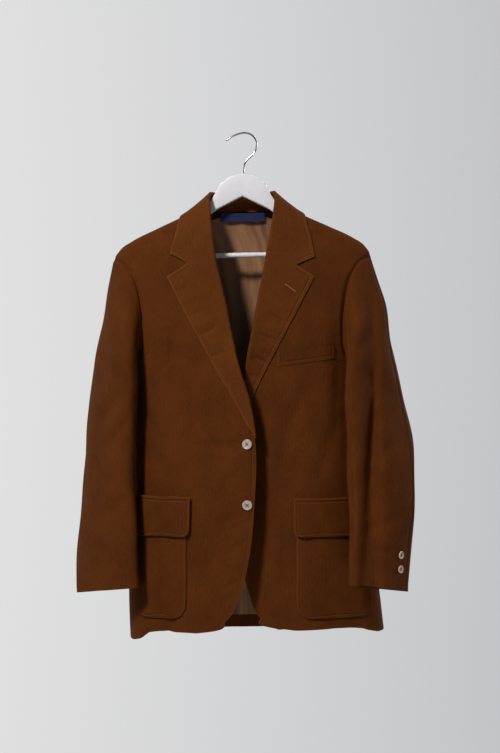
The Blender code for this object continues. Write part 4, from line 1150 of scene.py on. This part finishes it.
def corduroy(name, lit, deep, wear_and_highlight):
    """Fine-wale cotton corduroy: cut-pile ribs that run down the cloth, with painted shade between them, and
    a short nap that brushes lighter and darker in streaks and wears pale along its stitched edges, with a
    painted highlight on the ridge beside them and painted shade in the stitched groove."""
    material, tree, shader = fresh(
        name, Roughness=0.9, Sheen_Weight=0.08, Sheen_Roughness=0.4, Specular_IOR_Level=0.10,
    )
    shader.inputs["Sheen Tint"].default_value = linear("C87838")
    lit, deep, wear_and_highlight = linear(lit), linear(deep), linear(wear_and_highlight)
    place = add(tree, "UVMap", {"uv_map": "cloth"})
    across = add(tree, "SeparateXYZ", None, {0: place})

    # The ribs wander a little to either side as they run.
    wobble = add(tree, "TexNoise", None, {"Vector": place, "Scale": WANDERS, "Detail": 2.0})
    wander = add(tree, "Math", TIMES, {0: wobble, 1: WALE_WANDER})
    bent = add(tree, "Math", PLUS, {0: across, 1: wander})
    wave = add(tree, "Math", SINE, {0: add(tree, "Math", TIMES, {0: bent, 1: 2 * math.pi / WALE})})
    rib = add(tree, "Math", TIMES, {0: add(tree, "Math", PLUS, {0: wave, 1: 1.0}), 1: 0.5})

    # The nap: lengthwise streaks over large soft clouds.
    stretch = add(tree, "VectorMath", TIMES, {0: place, 1: NAP_STREAKS})
    streaks = add(tree, "TexNoise", None, {"Vector": stretch, "Scale": 1.0, "Detail": 4.0})
    spread_out = add(tree, "VectorMath", TIMES, {0: place, 1: NAP_CLOUDS})
    clouds = add(tree, "TexNoise", None, {
        "Vector": spread_out, "Scale": 1.0, "Detail": 5.0, "Roughness": 0.62,
    })
    nap = add(tree, "Math", PLUS, {
        0: add(tree, "Math", TIMES, {0: streaks, 1: STREAK_SHARE}),
        1: add(tree, "Math", TIMES, {0: clouds, 1: CLOUD_SHARE}),
    })
    nap = add(tree, "MapRange", None, {0: nap, 1: 0.30, 2: 0.70, 3: 0.0, 4: 1.0})
    colour = add(tree, "Mix", MIXED, {0: nap, 6: deep, 7: lit}).outputs[2]
    # Painted shade: the cloth darkens between the ribs.
    between_ribs = add(tree, "Math", TIMES, {0: add(tree, "Math", MINUS, {0: 1.0, 1: rib}), 1: RIB_SHADE})
    colour = add(tree, "Mix", DARKENED, {0: between_ribs, 6: colour, 7: deep}).outputs[2]

    # Worn pale on the edge, paler on the ridge beside it from wear and a painted highlight, and darker in
    # the stitched groove with painted shade.
    distance = add(tree, "Attribute", {"attribute_name": "from_edge"}).outputs["Fac"]
    worn = bell(tree, distance, 0.0, WORN_WIDTH)
    ridge = bell(tree, distance, RIDGE_IN, RIDGE_WIDTH)
    groove = bell(tree, distance, STITCH_IN, GROOVE_WIDTH)
    pale = add(tree, "Math", CAPPED_PLUS, {
        0: add(tree, "Math", TIMES, {0: worn, 1: WORN_SHARE}),
        1: add(tree, "Math", TIMES, {0: ridge, 1: RIDGE_WEAR_AND_HIGHLIGHT}),
    })
    colour = add(tree, "Mix", MIXED, {0: pale, 6: colour, 7: wear_and_highlight}).outputs[2]
    dark = add(tree, "Math", TIMES, {0: groove, 1: GROOVE_PAINTED_SHADE})
    colour = add(tree, "Mix", MIXED, {0: dark, 6: colour, 7: deep}).outputs[2]

    rumple = add(tree, "TexNoise", None, {
        "Vector": place, "Scale": RUMPLES, "Detail": 4.0, "Roughness": 0.5, "Distortion": 0.6,
    })
    pile = add(tree, "TexNoise", None, {"Vector": place, "Scale": TUFTS, "Detail": 2.0})
    height = add(tree, "Math", TIMES, {0: rib, 1: RIB_HEIGHT})
    for layer, tall, step in (
        (rumple, RUMPLE_HEIGHT, PLUS),
        (pile, TUFT_HEIGHT, PLUS),
        (ridge, RIDGE_HEIGHT, PLUS),
        (groove, GROOVE_DEPTH, MINUS),
    ):
        height = add(tree, "Math", step, {0: height, 1: add(tree, "Math", TIMES, {0: layer, 1: tall})})
    return surfaced(material, tree, shader, colour, height)


def satin():
    """Taupe acetate satin lining, smooth, with soft lengthwise fold bands in its bump that are painted light
    and dark in its colour as sheen and shade.
    """
    material, tree, shader = fresh(
        "satin lining", Roughness=0.42, Sheen_Weight=0.10, Specular_IOR_Level=0.45,
    )
    place = add(tree, "UVMap", {"uv_map": "cloth"})
    stretch = add(tree, "VectorMath", TIMES, {0: place, 1: FOLD_BANDS})
    fold_bands = add(tree, "TexNoise", None, {"Vector": stretch, "Scale": 1.0, "Detail": 3.0})
    weave = add(tree, "TexNoise", None, {"Vector": place, "Scale": SATIN_FLOATS, "Detail": 1.0})
    # Painted sheen and shade: the fold bands run the colour from dark to light.
    share = add(tree, "MapRange", None, {0: fold_bands, 1: 0.34, 2: 0.66, 3: 0.0, 4: 1.0})
    colour = add(tree, "Mix", MIXED, {0: share, 6: linear("7A5239"), 7: linear("AB7C58")}).outputs[2]
    height = add(tree, "Math", PLUS, {
        0: add(tree, "Math", TIMES, {0: weave, 1: FLOAT_HEIGHT}),
        1: add(tree, "Math", TIMES, {0: fold_bands, 1: BAND_HEIGHT}),
    })
    return surfaced(material, tree, shader, colour, height)


def speckled(name, low, high, scale, grain, **uniform):
    """A plain surface with slight unevenness of colour and height."""
    material, tree, shader = fresh(name, **uniform)
    place = add(tree, "TexCoord").outputs["Object"]
    noise = add(tree, "TexNoise", None, {"Vector": place, "Scale": scale, "Detail": 3.0})
    colour = add(tree, "Mix", MIXED, {0: noise, 6: linear(low), 7: linear(high)}).outputs[2]
    return surfaced(material, tree, shader, colour, add(tree, "Math", TIMES, {0: noise, 1: grain}))


def glowing_wall():
    """A pale wall a long way behind that glows in place of lamplight, with painted shade that makes it a
    little darker to its right.
    """
    material, tree, shader = fresh(
        "pale wall", Roughness=0.95, Specular_IOR_Level=0.0, Emission_Strength=0.93,
    )
    shader.inputs["Base Color"].default_value = linear("808080")
    across = add(tree, "SeparateXYZ", None, {0: add(tree, "TexCoord").outputs["Object"]})
    # Painted shade: the glow darkens towards the right.
    share = add(tree, "MapRange", None, {0: across, 1: -1.4, 2: 1.6, 3: 0.0, 4: 1.0})
    colour = add(tree, "Mix", MIXED, {0: share, 6: linear("E0E0E0"), 7: linear("BCBDC1")})
    tree.links.new(colour.outputs[2], shader.inputs["Emission Color"])
    return material


def label_cloth():
    """Navy damask-woven polyester label, its fine threads crossing."""
    material, tree, shader = fresh("woven label", Roughness=0.62, Sheen_Weight=0.15)
    place = add(tree, "SeparateXYZ", None, {0: add(tree, "UVMap", {"uv_map": "cloth"})})
    threads = 2 * math.pi / LABEL_THREAD
    warp, weft = (
        add(tree, "Math", SINE, {0: add(tree, "Math", TIMES, {0: place.outputs[axis], 1: threads})})
        for axis in (0, 1)
    )
    cross = add(tree, "Math", TIMES, {0: warp, 1: weft})
    share = add(tree, "Math", PLUS, {0: add(tree, "Math", TIMES, {0: cross, 1: 0.35}), 1: 0.5})
    colour = add(tree, "Mix", MIXED, {0: share, 6: linear("10184A"), 7: linear("1E2C68")}).outputs[2]
    height = add(tree, "Math", TIMES, {0: cross, 1: LABEL_THREAD_HEIGHT})
    return surfaced(material, tree, shader, colour, height)


# ---------------------------------------------------------------- stitches


def line_inside(grid, facing, edge, inset, start=0.0, end=1.0):
    """Points that run beside an edge of a grid, an inset in from it, with their normals."""
    normals = grid_normals(grid, facing)
    if edge in ("first_row", "last_row"):
        grid, normals = grid.transpose(1, 0, 2), normals.transpose(1, 0, 2)
        edge = "first_column" if edge == "first_row" else "last_column"
    if edge == "last_column":
        grid, normals = grid[:, ::-1], normals[:, ::-1]
    count = len(grid)
    chosen = slice(int(start * (count - 1)), int(end * (count - 1)) + 1)
    run = steps_along(grid, 1)
    points, ups = [], []
    for row in range(count)[chosen]:
        at = min(inset, run[row, -1] * 0.9)
        points.append([np.interp(at, run[row], grid[row, :, axis]) for axis in range(3)])
        ups.append([np.interp(at, run[row], normals[row, :, axis]) for axis in range(3)])
    return np.array(points), unit(np.array(ups))


def dashes(path, ups, pitch, length, width, height):
    """Boxes for the stitches along a path: each lies along it and stands a little proud."""
    run = np.append(0, np.cumsum(np.linalg.norm(np.diff(path, axis=0), axis=1)))
    count = max(int(run[-1] / pitch), 1)
    places, faces = [], []
    corner_signs = [(-1, -1), (1, -1), (1, 1), (-1, 1)]
    for index in range(count):
        begin, finish = index * pitch, min(index * pitch + length, run[-1])
        ends = [np.array([np.interp(at, run, path[:, axis]) for axis in range(3)]) for at in (begin, finish)]
        up = unit(np.array([np.interp((begin + finish) / 2, run, ups[:, axis]) for axis in range(3)]))
        along = unit(ends[1] - ends[0])
        beside = np.cross(up, along)
        first = len(places)
        for end in ends:
            for out, tall in corner_signs:
                narrow = width / 2 * (0.6 if tall > 0 else 1.0)
                places.append(end + beside * out * narrow + up * (height if tall > 0 else -height / 2))
        for i in range(4):
            j = (i + 1) % 4
            faces.append([first + i, first + j, first + 4 + j, first + 4 + i])
        faces.append([first + 3, first + 2, first + 1, first])
        faces.append([first + 4, first + 5, first + 6, first + 7])
    return places, faces


def stitching(name, runs, material, pitch=0.0036, length=0.0026, width=0.0006, height=0.00022):
    """Rows of stitches along their runs, as one piece."""
    places, faces = [], []
    for path, ups in runs:
        more, more_faces = dashes(path, ups, pitch, length, width, height)
        faces += [[corner + len(places) for corner in face] for face in more_faces]
        places += more
    hand_over(mesh_of(name, places, faces, material), None)


# ---------------------------------------------------------------- buttons and hanger


def turned_button(name, centre, axis, radius, lean=0.0):
    """A resin button: rolled rim and dished face, with the brown thread of its four holes drawn as a cross
    on the face; the holes themselves are not cut.
    """
    axis = unit(np.asarray(axis, float))
    first = unit(np.cross(axis, (0, 0, 1)))
    second = np.cross(axis, first)
    axis = unit(axis + second * lean)
    first = unit(np.cross(axis, second)) * -1
    second = np.cross(axis, first)
    turn = np.linspace(0, 2 * math.pi, BUTTON_AROUND, endpoint=False)[:, None]
    profile = np.array(BUTTON_PROFILE + ((0.04, 0.64),))
    run = np.append(0, np.cumsum(np.hypot(*np.diff(profile, axis=0).T)))
    fine = np.linspace(0, run[-1], 26)
    profile = np.stack([np.interp(fine, run, profile[:, 0]), np.interp(fine, run, profile[:, 1])], axis=-1)
    rings = []
    for out, up in profile:
        ring = centre + radius * out * (np.cos(turn) * first + np.sin(turn) * second)
        rings.append(ring + axis * (BUTTON_STAND + up * BUTTON_THICKNESS))
    hand_over(loft(name + "_resin", rings, MADE["resin"], 60), name)
    face = centre + axis * (BUTTON_STAND + 0.70 * BUTTON_THICKNESS)
    spacing = radius * 0.26
    places, faces = [], []
    for across, up in ((1, 1), (-1, 1)):
        reach = first * across * spacing + second * up * spacing
        sunk = axis * 0.0006
        path = [face - reach * 1.25 - sunk, face - reach, face + reach, face + reach * 1.25 - sunk]
        ups = np.tile(axis, (4, 1))
        more, more_faces = dashes(np.array(path), ups, 1.0, 1.0, radius * 0.24, 0.0007)
        faces += [[corner + len(places) for corner in one] for one in more_faces]
        places += more
    hand_over(mesh_of(name + "_thread", places, faces, MADE["thread"]), None)


def button_on_front(name, z, lean=0.0):
    """A button square to the right front at a height."""
    step = 0.006
    centre = front_at(RIGHT, FRONT_BUTTON_X, z)
    sideways = front_at(RIGHT, FRONT_BUTTON_X + step, z) - front_at(RIGHT, FRONT_BUTTON_X - step, z)
    upward = front_at(RIGHT, FRONT_BUTTON_X, z + step) - front_at(RIGHT, FRONT_BUTTON_X, z - step)
    turned_button(name, centre, np.cross(sideways, upward), FRONT_BUTTON_RADIUS, lean)


def button_on_cuff(name, side, z):
    """A button square to a cuff at a height."""
    step = 5.0
    facing = CUFF_BUTTON_FACING[side]
    centre = sleeve_section(side, z, facing)
    around = sleeve_section(side, z, facing + step) - sleeve_section(side, z, facing - step)
    turned_button(name, centre, np.cross(around, (0, 0, -side)), CUFF_BUTTON_RADIUS)


def tube(name, path, radius, material, sides=20):
    """A round bar along a path, its ends drawn in."""
    along = unit(np.gradient(path, axis=0))
    first = unit(np.array((0.0, 1.0, 0.0)) - along * along[:, 1:2])
    second = np.cross(along, first)
    turn = np.linspace(0, 2 * math.pi, sides, endpoint=False)[None, :, None]
    ends = np.ones(len(path))
    ends[[0, -1]], ends[[1, -2]] = 0.55, 0.9
    reach = radius * ends[:, None, None]
    rings = path[:, None] + reach * (np.cos(turn) * first[:, None] + np.sin(turn) * second[:, None])
    return loft(name, rings, material, 70)


def hanger():
    """The flat arched hanger with rolled edges, its trouser bar and the wire hook."""
    half = np.array(HANGER)
    arch = half[: HANGER_ARCH_KNOTS]
    fine = np.linspace(0, arch[-1, 0], 70)
    top = smooth_curve(arch[:, 0], arch[:, 1], fine)
    bottom = smooth_curve(arch[:, 0], arch[:, 2], fine)
    half = np.concatenate([np.stack([fine, top, bottom], axis=-1), half[HANGER_ARCH_KNOTS:]])
    across, top, bottom = np.concatenate([half[::-1] * (-1, 1, 1), half[1:]]).T
    x = MIDDLE + across
    top, bottom = top + TILT * across, bottom + TILT * across
    thick, radius = HANGER_THICKNESS / 2, HANGER_CHAMFER * 1.35
    rings = []
    for at_top, turns in ((1, (180, 90)), (1, (90, 0)), (0, (0, -90)), (0, (-90, -180))):
        for turn in np.radians(np.linspace(*turns, 6)):
            lean = -1 if turns in ((180, 90), (-90, -180)) else 1
            y = lean * (thick - radius) + radius * math.cos(turn)
            step = radius * math.sin(turn) - (radius if at_top else -radius)
            edge = top if at_top else bottom
            rings.append(np.stack([x, np.full_like(x, y), edge + step], axis=-1))
    hand_over(loft("hanger_wood", np.stack(rings, axis=1), MADE["paint"], 50), "hanger_body")
    ends = np.linspace(-1, 1, 24) * BAR_HALF_LENGTH
    bar = np.stack([MIDDLE + ends, 0 * ends, BAR_LEVEL + TILT * ends], axis=-1)
    hand_over(tube("hanger_rail", bar, BAR_RADIUS, MADE["paint"], 24), "hanger_bar")
    hook = np.array([(x_, 0.0, z_) for x_, z_ in HOOK])
    length = np.append(0, np.cumsum(np.linalg.norm(np.diff(hook, axis=0), axis=1)))
    fine = np.linspace(0, length[-1], 110)
    hook = np.stack([smooth_curve(length, hook[:, axis], fine) for axis in range(3)], axis=-1)
    hand_over(tube("hook_wire", hook, WIRE_RADIUS, MADE["plating"], 18), "hanger_hook")


# ---------------------------------------------------------------- cloth pieces


def lining_grid(backs):
    """The lining follows the back inside its walls, hanging in soft lengthwise ripples."""
    stand = WALL + LINING_GAP
    last = int((PANEL_ACROSS - 1) * LINING_REACH) + 1
    halves = []
    for side, word in WORDS.items():
        points = backs["back_" + word][LINING_FIRST_ROW:LINING_END_ROW:2, 0:last]
        across = (points[-1, :, 0] - MIDDLE) * side
        top = surface(side, across, ARMPIT, np.full(len(across), LINING_TOP_TURN))
        fill = [points[-1] + (top - points[-1]) * share for share in (0.34, 0.67, 1.0)]
        points = np.concatenate([points, np.array(fill)])
        inward = -grid_normals(points, -side)
        out = np.abs(points[..., 0] - MIDDLE)
        # The centre pleat folds towards the right, so it ends sharply on the left.
        pleat = PLEAT_HEIGHT * np.exp(-((out / PLEAT_REACH[side]) ** 2))
        fading = ease(LINING_CALM - points[..., 2], 0, 0.06)
        ripple = 0.5 + 0.5 * np.cos(points[..., 0] * 2 * np.pi / 0.037 + points[..., 2] * 3 + side)
        ripple = ripple * (0.6 + 0.4 * np.sin(points[..., 0] * 71 - points[..., 2] * 5))
        halves.append(points + inward * (stand + pleat + RIPPLE * ripple * fading)[..., None])
    return np.concatenate([halves[0][:, ::-1], halves[1][:, 1:]], axis=1)


def label_grid():
    """The neck label, inside the lining below the collar."""
    share = np.linspace(-1, 1, 41)[None, :]
    down = np.linspace(0, 1, 9)[:, None]
    height = LABEL_TOP - down * LABEL_HEIGHT
    across = np.abs(share * LABEL_WIDTH / 2) + 0 * down
    up = (height - ARMPIT) / (shoulder_height(0.0) - ARMPIT)
    rise = 180 - np.degrees(np.arcsin(up ** (TOP_ROUNDNESS / 2)))
    points = surface(LEFT, across, ARMPIT, rise + 0 * share)
    points[..., 0] = MIDDLE + share * LABEL_WIDTH / 2
    points[..., 2] = height + TILT * share * LABEL_WIDTH / 2
    normals = grid_normals(points, 1)
    return points - normals * (WALL + LINING_GAP + LINING_WALL + PLEAT_HEIGHT + LABEL_GAP)


def seam_dip(points, normals, edges):
    """The cloth draws in along a seam and stands a little proud beside it."""
    distance = edge_distances(points, edges)
    dip = -SEAM_DIP * np.exp(-((distance / 0.0035) ** 2))
    swell = SEAM_SWELL * np.exp(-(((distance - 0.009) / 0.005) ** 2))
    return points + normals * (dip + swell)[..., None]


def cloth(node, points, normals, stitched, seams=(), thickness=WALL, finish="corduroy",
          start=0.0, pulled=(), free=None):
    """One cut piece of cloth in the place of its solid, built as a thin closed wall."""
    points = seam_dip(points, normals, seams) if seams else points
    uv = grain_of(points, start)
    near = edge_distances(points, stitched)
    if free:
        # Along the gorge the two are sewn together, so only the notch's own edges are stitched.
        sewn = int(free[1] + NOTCH_SHARE * (LEAF_COLUMNS - 1))
        near[:, :sewn] = edge_distances(points, ("last_column",))[:, :sewn]
    piece = shell(node + "_cloth", pulled_in(points, pulled), -normals, thickness, MADE[finish], uv, near)
    hand_over(piece, node)


# ---------------------------------------------------------------- building

RIM_CREASE = 55
FAR_FROM_EDGE = 1.0
# Real fine-wale ribs are about 2 mm apart, which is too fine to show, so they are drawn wider.
WALE = 0.0026
WALE_WANDER = 0.0012
STITCH_IN = 0.0062
# Corduroy patterns to the metre: streaks of nap 1.6 mm wide and 9 mm long, clouds of about
# 100 mm, rumples of 38 mm, the ribs' wandering of 25 mm and tufts of 0.7 mm.
NAP_STREAKS = (620.0, 110.0, 1.0)
NAP_CLOUDS = (12.0, 9.0, 1.0)
RUMPLES = 26.0
WANDERS = 40.0
TUFTS = 1500.0
STREAK_SHARE, CLOUD_SHARE = 0.40, 0.60
RIB_SHADE = 0.24
# Beside an edge, in metres from it: the worn rim, the ridge with its wear and painted highlight, and the
# groove that the stitches pull, with its painted shade.
WORN_WIDTH, WORN_SHARE = 0.0022, 0.42
RIDGE_IN, RIDGE_WIDTH, RIDGE_WEAR_AND_HIGHLIGHT = 0.0034, 0.0030, 0.10
GROOVE_WIDTH, GROOVE_PAINTED_SHADE = 0.0022, 0.30
RIB_HEIGHT, RUMPLE_HEIGHT, TUFT_HEIGHT = 0.00014, 0.0022, 0.00012
RIDGE_HEIGHT, GROOVE_DEPTH = 0.0006, 0.0008
# Satin: fold bands 17 mm wide, painted light and dark as sheen and shade, and floating threads of 0.6 mm.
FOLD_BANDS = (60.0, 5.0, 1.0)
SATIN_FLOATS = 1800.0
FLOAT_HEIGHT, BAND_HEIGHT = 0.00006, 0.0012
LABEL_THREAD_HEIGHT = 0.00008
LABEL_THREAD = 0.0011
# The lapel's buttonhole: where it starts and how far it runs, as x and z, and its stitches'
# pitch, length, width and height.
HOLE_START, HOLE_RUN = (0.074, -0.282), (0.019, -0.014)
HOLE_KNOTS = 24
HOLE_STITCHES = (0.0011, 0.0009, 0.0030, 0.0005)
BOTTOM_BUTTON_LEAN = 0.20
BUTTON_AROUND = 48
HANGER_ARCH_KNOTS = 12
LINING_REACH = 0.667
LINING_CALM = -0.165
RIPPLE = 0.0018
PLEAT_REACH = {RIGHT: 0.012, LEFT: 0.0018}
SEAM_DIP = 0.0014
SEAM_SWELL = 0.0007

MADE = {
    # Corduroy of the fronts, backs, sleeves and patches.
    "corduroy": corduroy("brown corduroy", "6C3811", "4F2607", "87491B"),
    # The same cloth on the collar and lapels, its nap brushed up and paler where it is handled.
    "collar": corduroy("brown corduroy, collar and lapels", "733E16", "572B0B", "915424"),
    "satin": satin(),
    "label": label_cloth(),
    # Polyester topstitching thread, a shade paler than the cloth.
    "stitch": speckled("topstitching thread", "6A3A1B", "85502B", 900.0, 0.0001, Roughness=0.8),
    # Dark brown sewing thread through the buttons.
    "thread": speckled("button thread", "4A2410", "6A3A20", 900.0, 0.0001, Roughness=0.8),
    # Pale thread of the lapel's buttonhole.
    "hole": speckled("buttonhole thread", "85503A", "A0684A", 900.0, 0.0001, Roughness=0.8),
    # Cast polyester resin with a pale, cloudy horn look.
    "resin": speckled(
        "cast resin button", "B5A294", "D6C7BA", 260.0, 0.00008, Roughness=0.32, Coat_Weight=0.3,
    ),
    # Satin-white lacquer on wood.
    "paint": speckled("white lacquered wood", "EDEAEE", "F8F5F8", 60.0, 0.00006, Roughness=0.38),
    # Bright nickel plating on steel wire.
    "plating": speckled(
        "nickel plated wire", "B9B9BE", "DADADE", 400.0, 0.00003, Roughness=0.2, Metallic=1.0,
    ),
}


def build():
    """Every piece of the jacket and its hanger."""
    outer, normals = body_and_sleeves()
    collar, lapels = sewn_gorge()
    stitch_runs = []
    for side, word in WORDS.items():
        front = outer["front_" + word]
        start = (front[:, 0, 0] - MIDDLE) * side
        cloth("front_" + word, front, normals["front_" + word], ("first_column",), ("last_column",),
              start=start, pulled=("first_column", "last_column", "last_row"))
        back = outer["back_" + word]
        cloth("back_" + word, back, normals["back_" + word], (), ("last_column", "first_column"),
              start=(back[:, 0, 0] - MIDDLE) * side, pulled=("first_column", "last_column", "last_row"))
        sleeve, sleeve_normals = outer["sleeve_" + word], normals["sleeve_" + word]
        around = 2 * ARMHOLE_STEPS
        hind, fore = HIND_SEAM[side], FORE_SEAM[side]
        for kind, first, last in (("top", hind, fore), ("under", fore, hind)):
            columns = [(first + i) % around for i in range((last - first) % around + 1)]
            cloth(f"{kind}_sleeve_{word}", sleeve[:, columns], sleeve_normals[:, columns], (),
                  ("first_row", "first_column", "last_column"),
                  pulled=("first_row", "first_column", "last_column"))
        lapel, lapel_normals = lapels[side]
        cloth("lapel_" + word, lapel, lapel_normals, ("last_column", "first_row"), (), LAPEL_WALL, "collar",
              free=("first_row", ROLL_COLUMNS))
        stitch_runs.append(line_inside(lapel, -side, "last_column", STITCH_IN, 0.02, 0.97))
        pocket = patch_on(side, front, POCKETS[side], POCKET_STAND, POCKET_BULGE, 0.0)
        cloth("pocket_" + word, pocket, grid_normals(pocket, side),
              ("first_column", "last_column", "first_row"))
        flap = patch_on(side, front, FLAPS[side], FLAP_STAND, POCKET_BULGE, FLAP_SWING)
        cloth("flap_" + word, flap, grid_normals(flap, side),
              ("first_column", "last_column", "first_row", "last_row"))
        for grid in (pocket, flap):
            for edge in ("first_column", "last_column", "first_row"):
                stitch_runs.append(line_inside(grid, side, edge, STITCH_IN, 0.06, 0.98))
        stitch_runs.append(line_inside(flap, side, "last_row", 0.0085, 0.03, 0.97))
        at_break = int(np.argmin(np.abs(front[:, 0, 2] - BREAK)))
        stitch_runs.append(line_inside(front[: at_break], side, "first_column", STITCH_IN))
        for index, height in enumerate(CUFF_BUTTON_HEIGHTS):
            button_on_cuff(f"cuff_button_{word}_{index + 1}", side, height)
    cloth("collar", collar, grid_normals(collar, -1), ("last_column", "first_row", "last_row"), (),
          WALL, "collar", free=("both_rows", STAND_COLUMNS + ROLL_COLUMNS))
    leaf = collar[:, STAND_COLUMNS + ROLL_COLUMNS :]
    stitch_runs.append(line_inside(leaf, -1, "last_column", STITCH_IN, 0.02, 0.98))
    for edge in ("first_row", "last_row"):
        stitch_runs.append(line_inside(leaf, -1, edge, STITCH_IN, 0.62, 0.97))
    welt = welt_on(outer["front_left"])
    cloth("breast_welt", welt, grid_normals(welt, LEFT),
          ("first_column", "last_column", "first_row"), (), WELT_WALL)
    lining = lining_grid(outer)
    cloth("back_lining", lining, grid_normals(lining, -1), (), (), LINING_WALL, "satin")
    label = label_grid()
    cloth("neck_label", label, grid_normals(label, 1), (), (), LABEL_WALL, "label")
    stitching("topstitching", stitch_runs, MADE["stitch"])
    lapel_hole()
    button_on_front("button_top", FRONT_BUTTON_HEIGHTS[0])
    button_on_front("button_bottom", FRONT_BUTTON_HEIGHTS[1], BOTTOM_BUTTON_LEAN)
    hanger()


def sewn_gorge():
    """The collar and the lapels, brought together along the gorge seam up to the notch."""
    collar = collar_grid()
    lapels = {side: list(lapel_grid(side)) for side in (RIGHT, LEFT)}
    out = np.concatenate([np.zeros(ROLL_COLUMNS), np.linspace(0, 1, LEAF_COLUMNS)])
    share = (1 - ease(out, NOTCH_SHARE, NOTCH_SHARE + 0.05))[None, :, None]
    for side, end in ((RIGHT, 0), (LEFT, -1)):
        lapel = lapels[side][0]
        gap = (collar[end, STAND_COLUMNS:] - lapel[0])[None] * share / 2
        fading = (1 - ease(np.arange(len(lapel)) / 14, 0, 1))[:, None, None]
        lapel += gap * fading
        from_end = np.arange(len(collar)) if end == 0 else np.arange(len(collar))[::-1]
        fading = (1 - ease(from_end / 10, 0, 1))[:, None, None]
        collar[:, STAND_COLUMNS:] -= gap * fading
        lapels[side][1] = grid_normals(lapel, -side)
        lapels[side][1][:, 0] = lapels[side][1][:, 1]
    return collar, lapels


def lapel_hole():
    """The left lapel's buttonhole, worked in pale thread."""
    leaf = lapel_grid(LEFT)[0][:, ROLL_COLUMNS:]
    rows, columns = leaf.shape[:2]
    corners = [row * columns + column for row in range(rows - 1) for column in range(columns - 1)]
    tree = BVHTree.FromPolygons(
        [tuple(place) for place in leaf.reshape(-1, 3)],
        [half for corner in corners for half in halves_of(corner, columns)],
    )
    path, ups = [], []
    for share in np.linspace(0, 1, HOLE_KNOTS):
        x, z = (start + run * share for start, run in zip(HOLE_START, HOLE_RUN))
        place, up = tree.ray_cast((x, -1.0, z), (0.0, 1.0, 0.0))[:2]
        path.append(tuple(place))
        ups.append(tuple(-np.sign(up[1]) * np.array(up)))
    stitching("lapel_buttonhole", [(np.array(path), np.array(ups))], MADE["hole"], *HOLE_STITCHES)


# Where the camera stands, what height its frame covers at the hanger, and how far that is away.
CAMERA_PLACE = (0.010, -2.54, -0.4484)
SENSOR_HEIGHT = 36.0
FRAMED_HEIGHT, FRAMED_AT = 1.370, 2.5
LAMPS_AIM = (0.0, 0.0, -0.48)
# Soft square lamps. Columns: name, place, side, watts.
LAMPS = (
    ("key", (-1.40, -2.50, 1.70), 0.50, 97.0),
    ("fill", (1.4, -3.2, 0.2), 2.4, 3.0),
    ("back", (1.4, 2.6, 1.0), 1.6, 42.0),
    ("right side", (2.9, 0.7, 0.4), 1.2, 26.0),
    ("left side", (-2.9, 0.9, 0.2), 1.2, 14.0),
)
FLOOR_REACH, FLOOR_LEVEL = 1.5, -1.75
WALL_BEHIND, WALL_REACH, WALL_RISE = 4.4, 7.0, 6.0
ROOM_LIGHT = 0.13


def staged(name, corners, material):
    """One flat face of the studio."""
    mesh = bpy.data.meshes.new(name)
    mesh.from_pydata(corners, [], [(0, 1, 2, 3)])
    mesh.materials.append(material)
    face = bpy.data.objects.new(name, mesh)
    bpy.context.scene.collection.objects.link(face)


def studio():
    """A plain pale floor and wall, and soft lights from the left front, the sides and behind."""
    scene = bpy.context.scene
    square = ((-1, -1), (1, -1), (1, 1), (-1, 1))
    staged("floor", [(FLOOR_REACH * x, FLOOR_REACH * y, FLOOR_LEVEL) for x, y in square],
           speckled("pale floor", "DCDCDC", "E6E6E6", 3.0, 0.0002, Roughness=0.9))
    staged("wall", [(WALL_REACH * x, WALL_BEHIND, WALL_RISE * z) for x, z in square], glowing_wall())
    scene.view_settings.view_transform = "Standard"
    world = bpy.data.worlds.new("room")
    world.use_nodes = True
    sky = world.node_tree.nodes["Background"]
    sky.inputs["Color"].default_value = linear("D6D6D8")
    sky.inputs["Strength"].default_value = ROOM_LIGHT
    scene.world = world
    for name, place, size, power in LAMPS:
        light = bpy.data.lights.new(name, "AREA")
        light.size, light.energy = size, power
        lamp = bpy.data.objects.new(name, light)
        lamp.location = place
        aim = np.array(LAMPS_AIM) - np.array(place)
        lamp.rotation_euler = Vector(aim).to_track_quat("-Z", "Y").to_euler()
        scene.collection.objects.link(lamp)
    lens = bpy.data.cameras.new("camera")
    lens.sensor_fit, lens.sensor_height = "VERTICAL", SENSOR_HEIGHT
    lens.lens = SENSOR_HEIGHT * FRAMED_AT / FRAMED_HEIGHT
    camera = bpy.data.objects.new("camera", lens)
    camera.location = CAMERA_PLACE
    camera.rotation_euler = (math.pi / 2, 0.0, 0.0)
    scene.collection.objects.link(camera)
    scene.camera = camera


build()
studio()
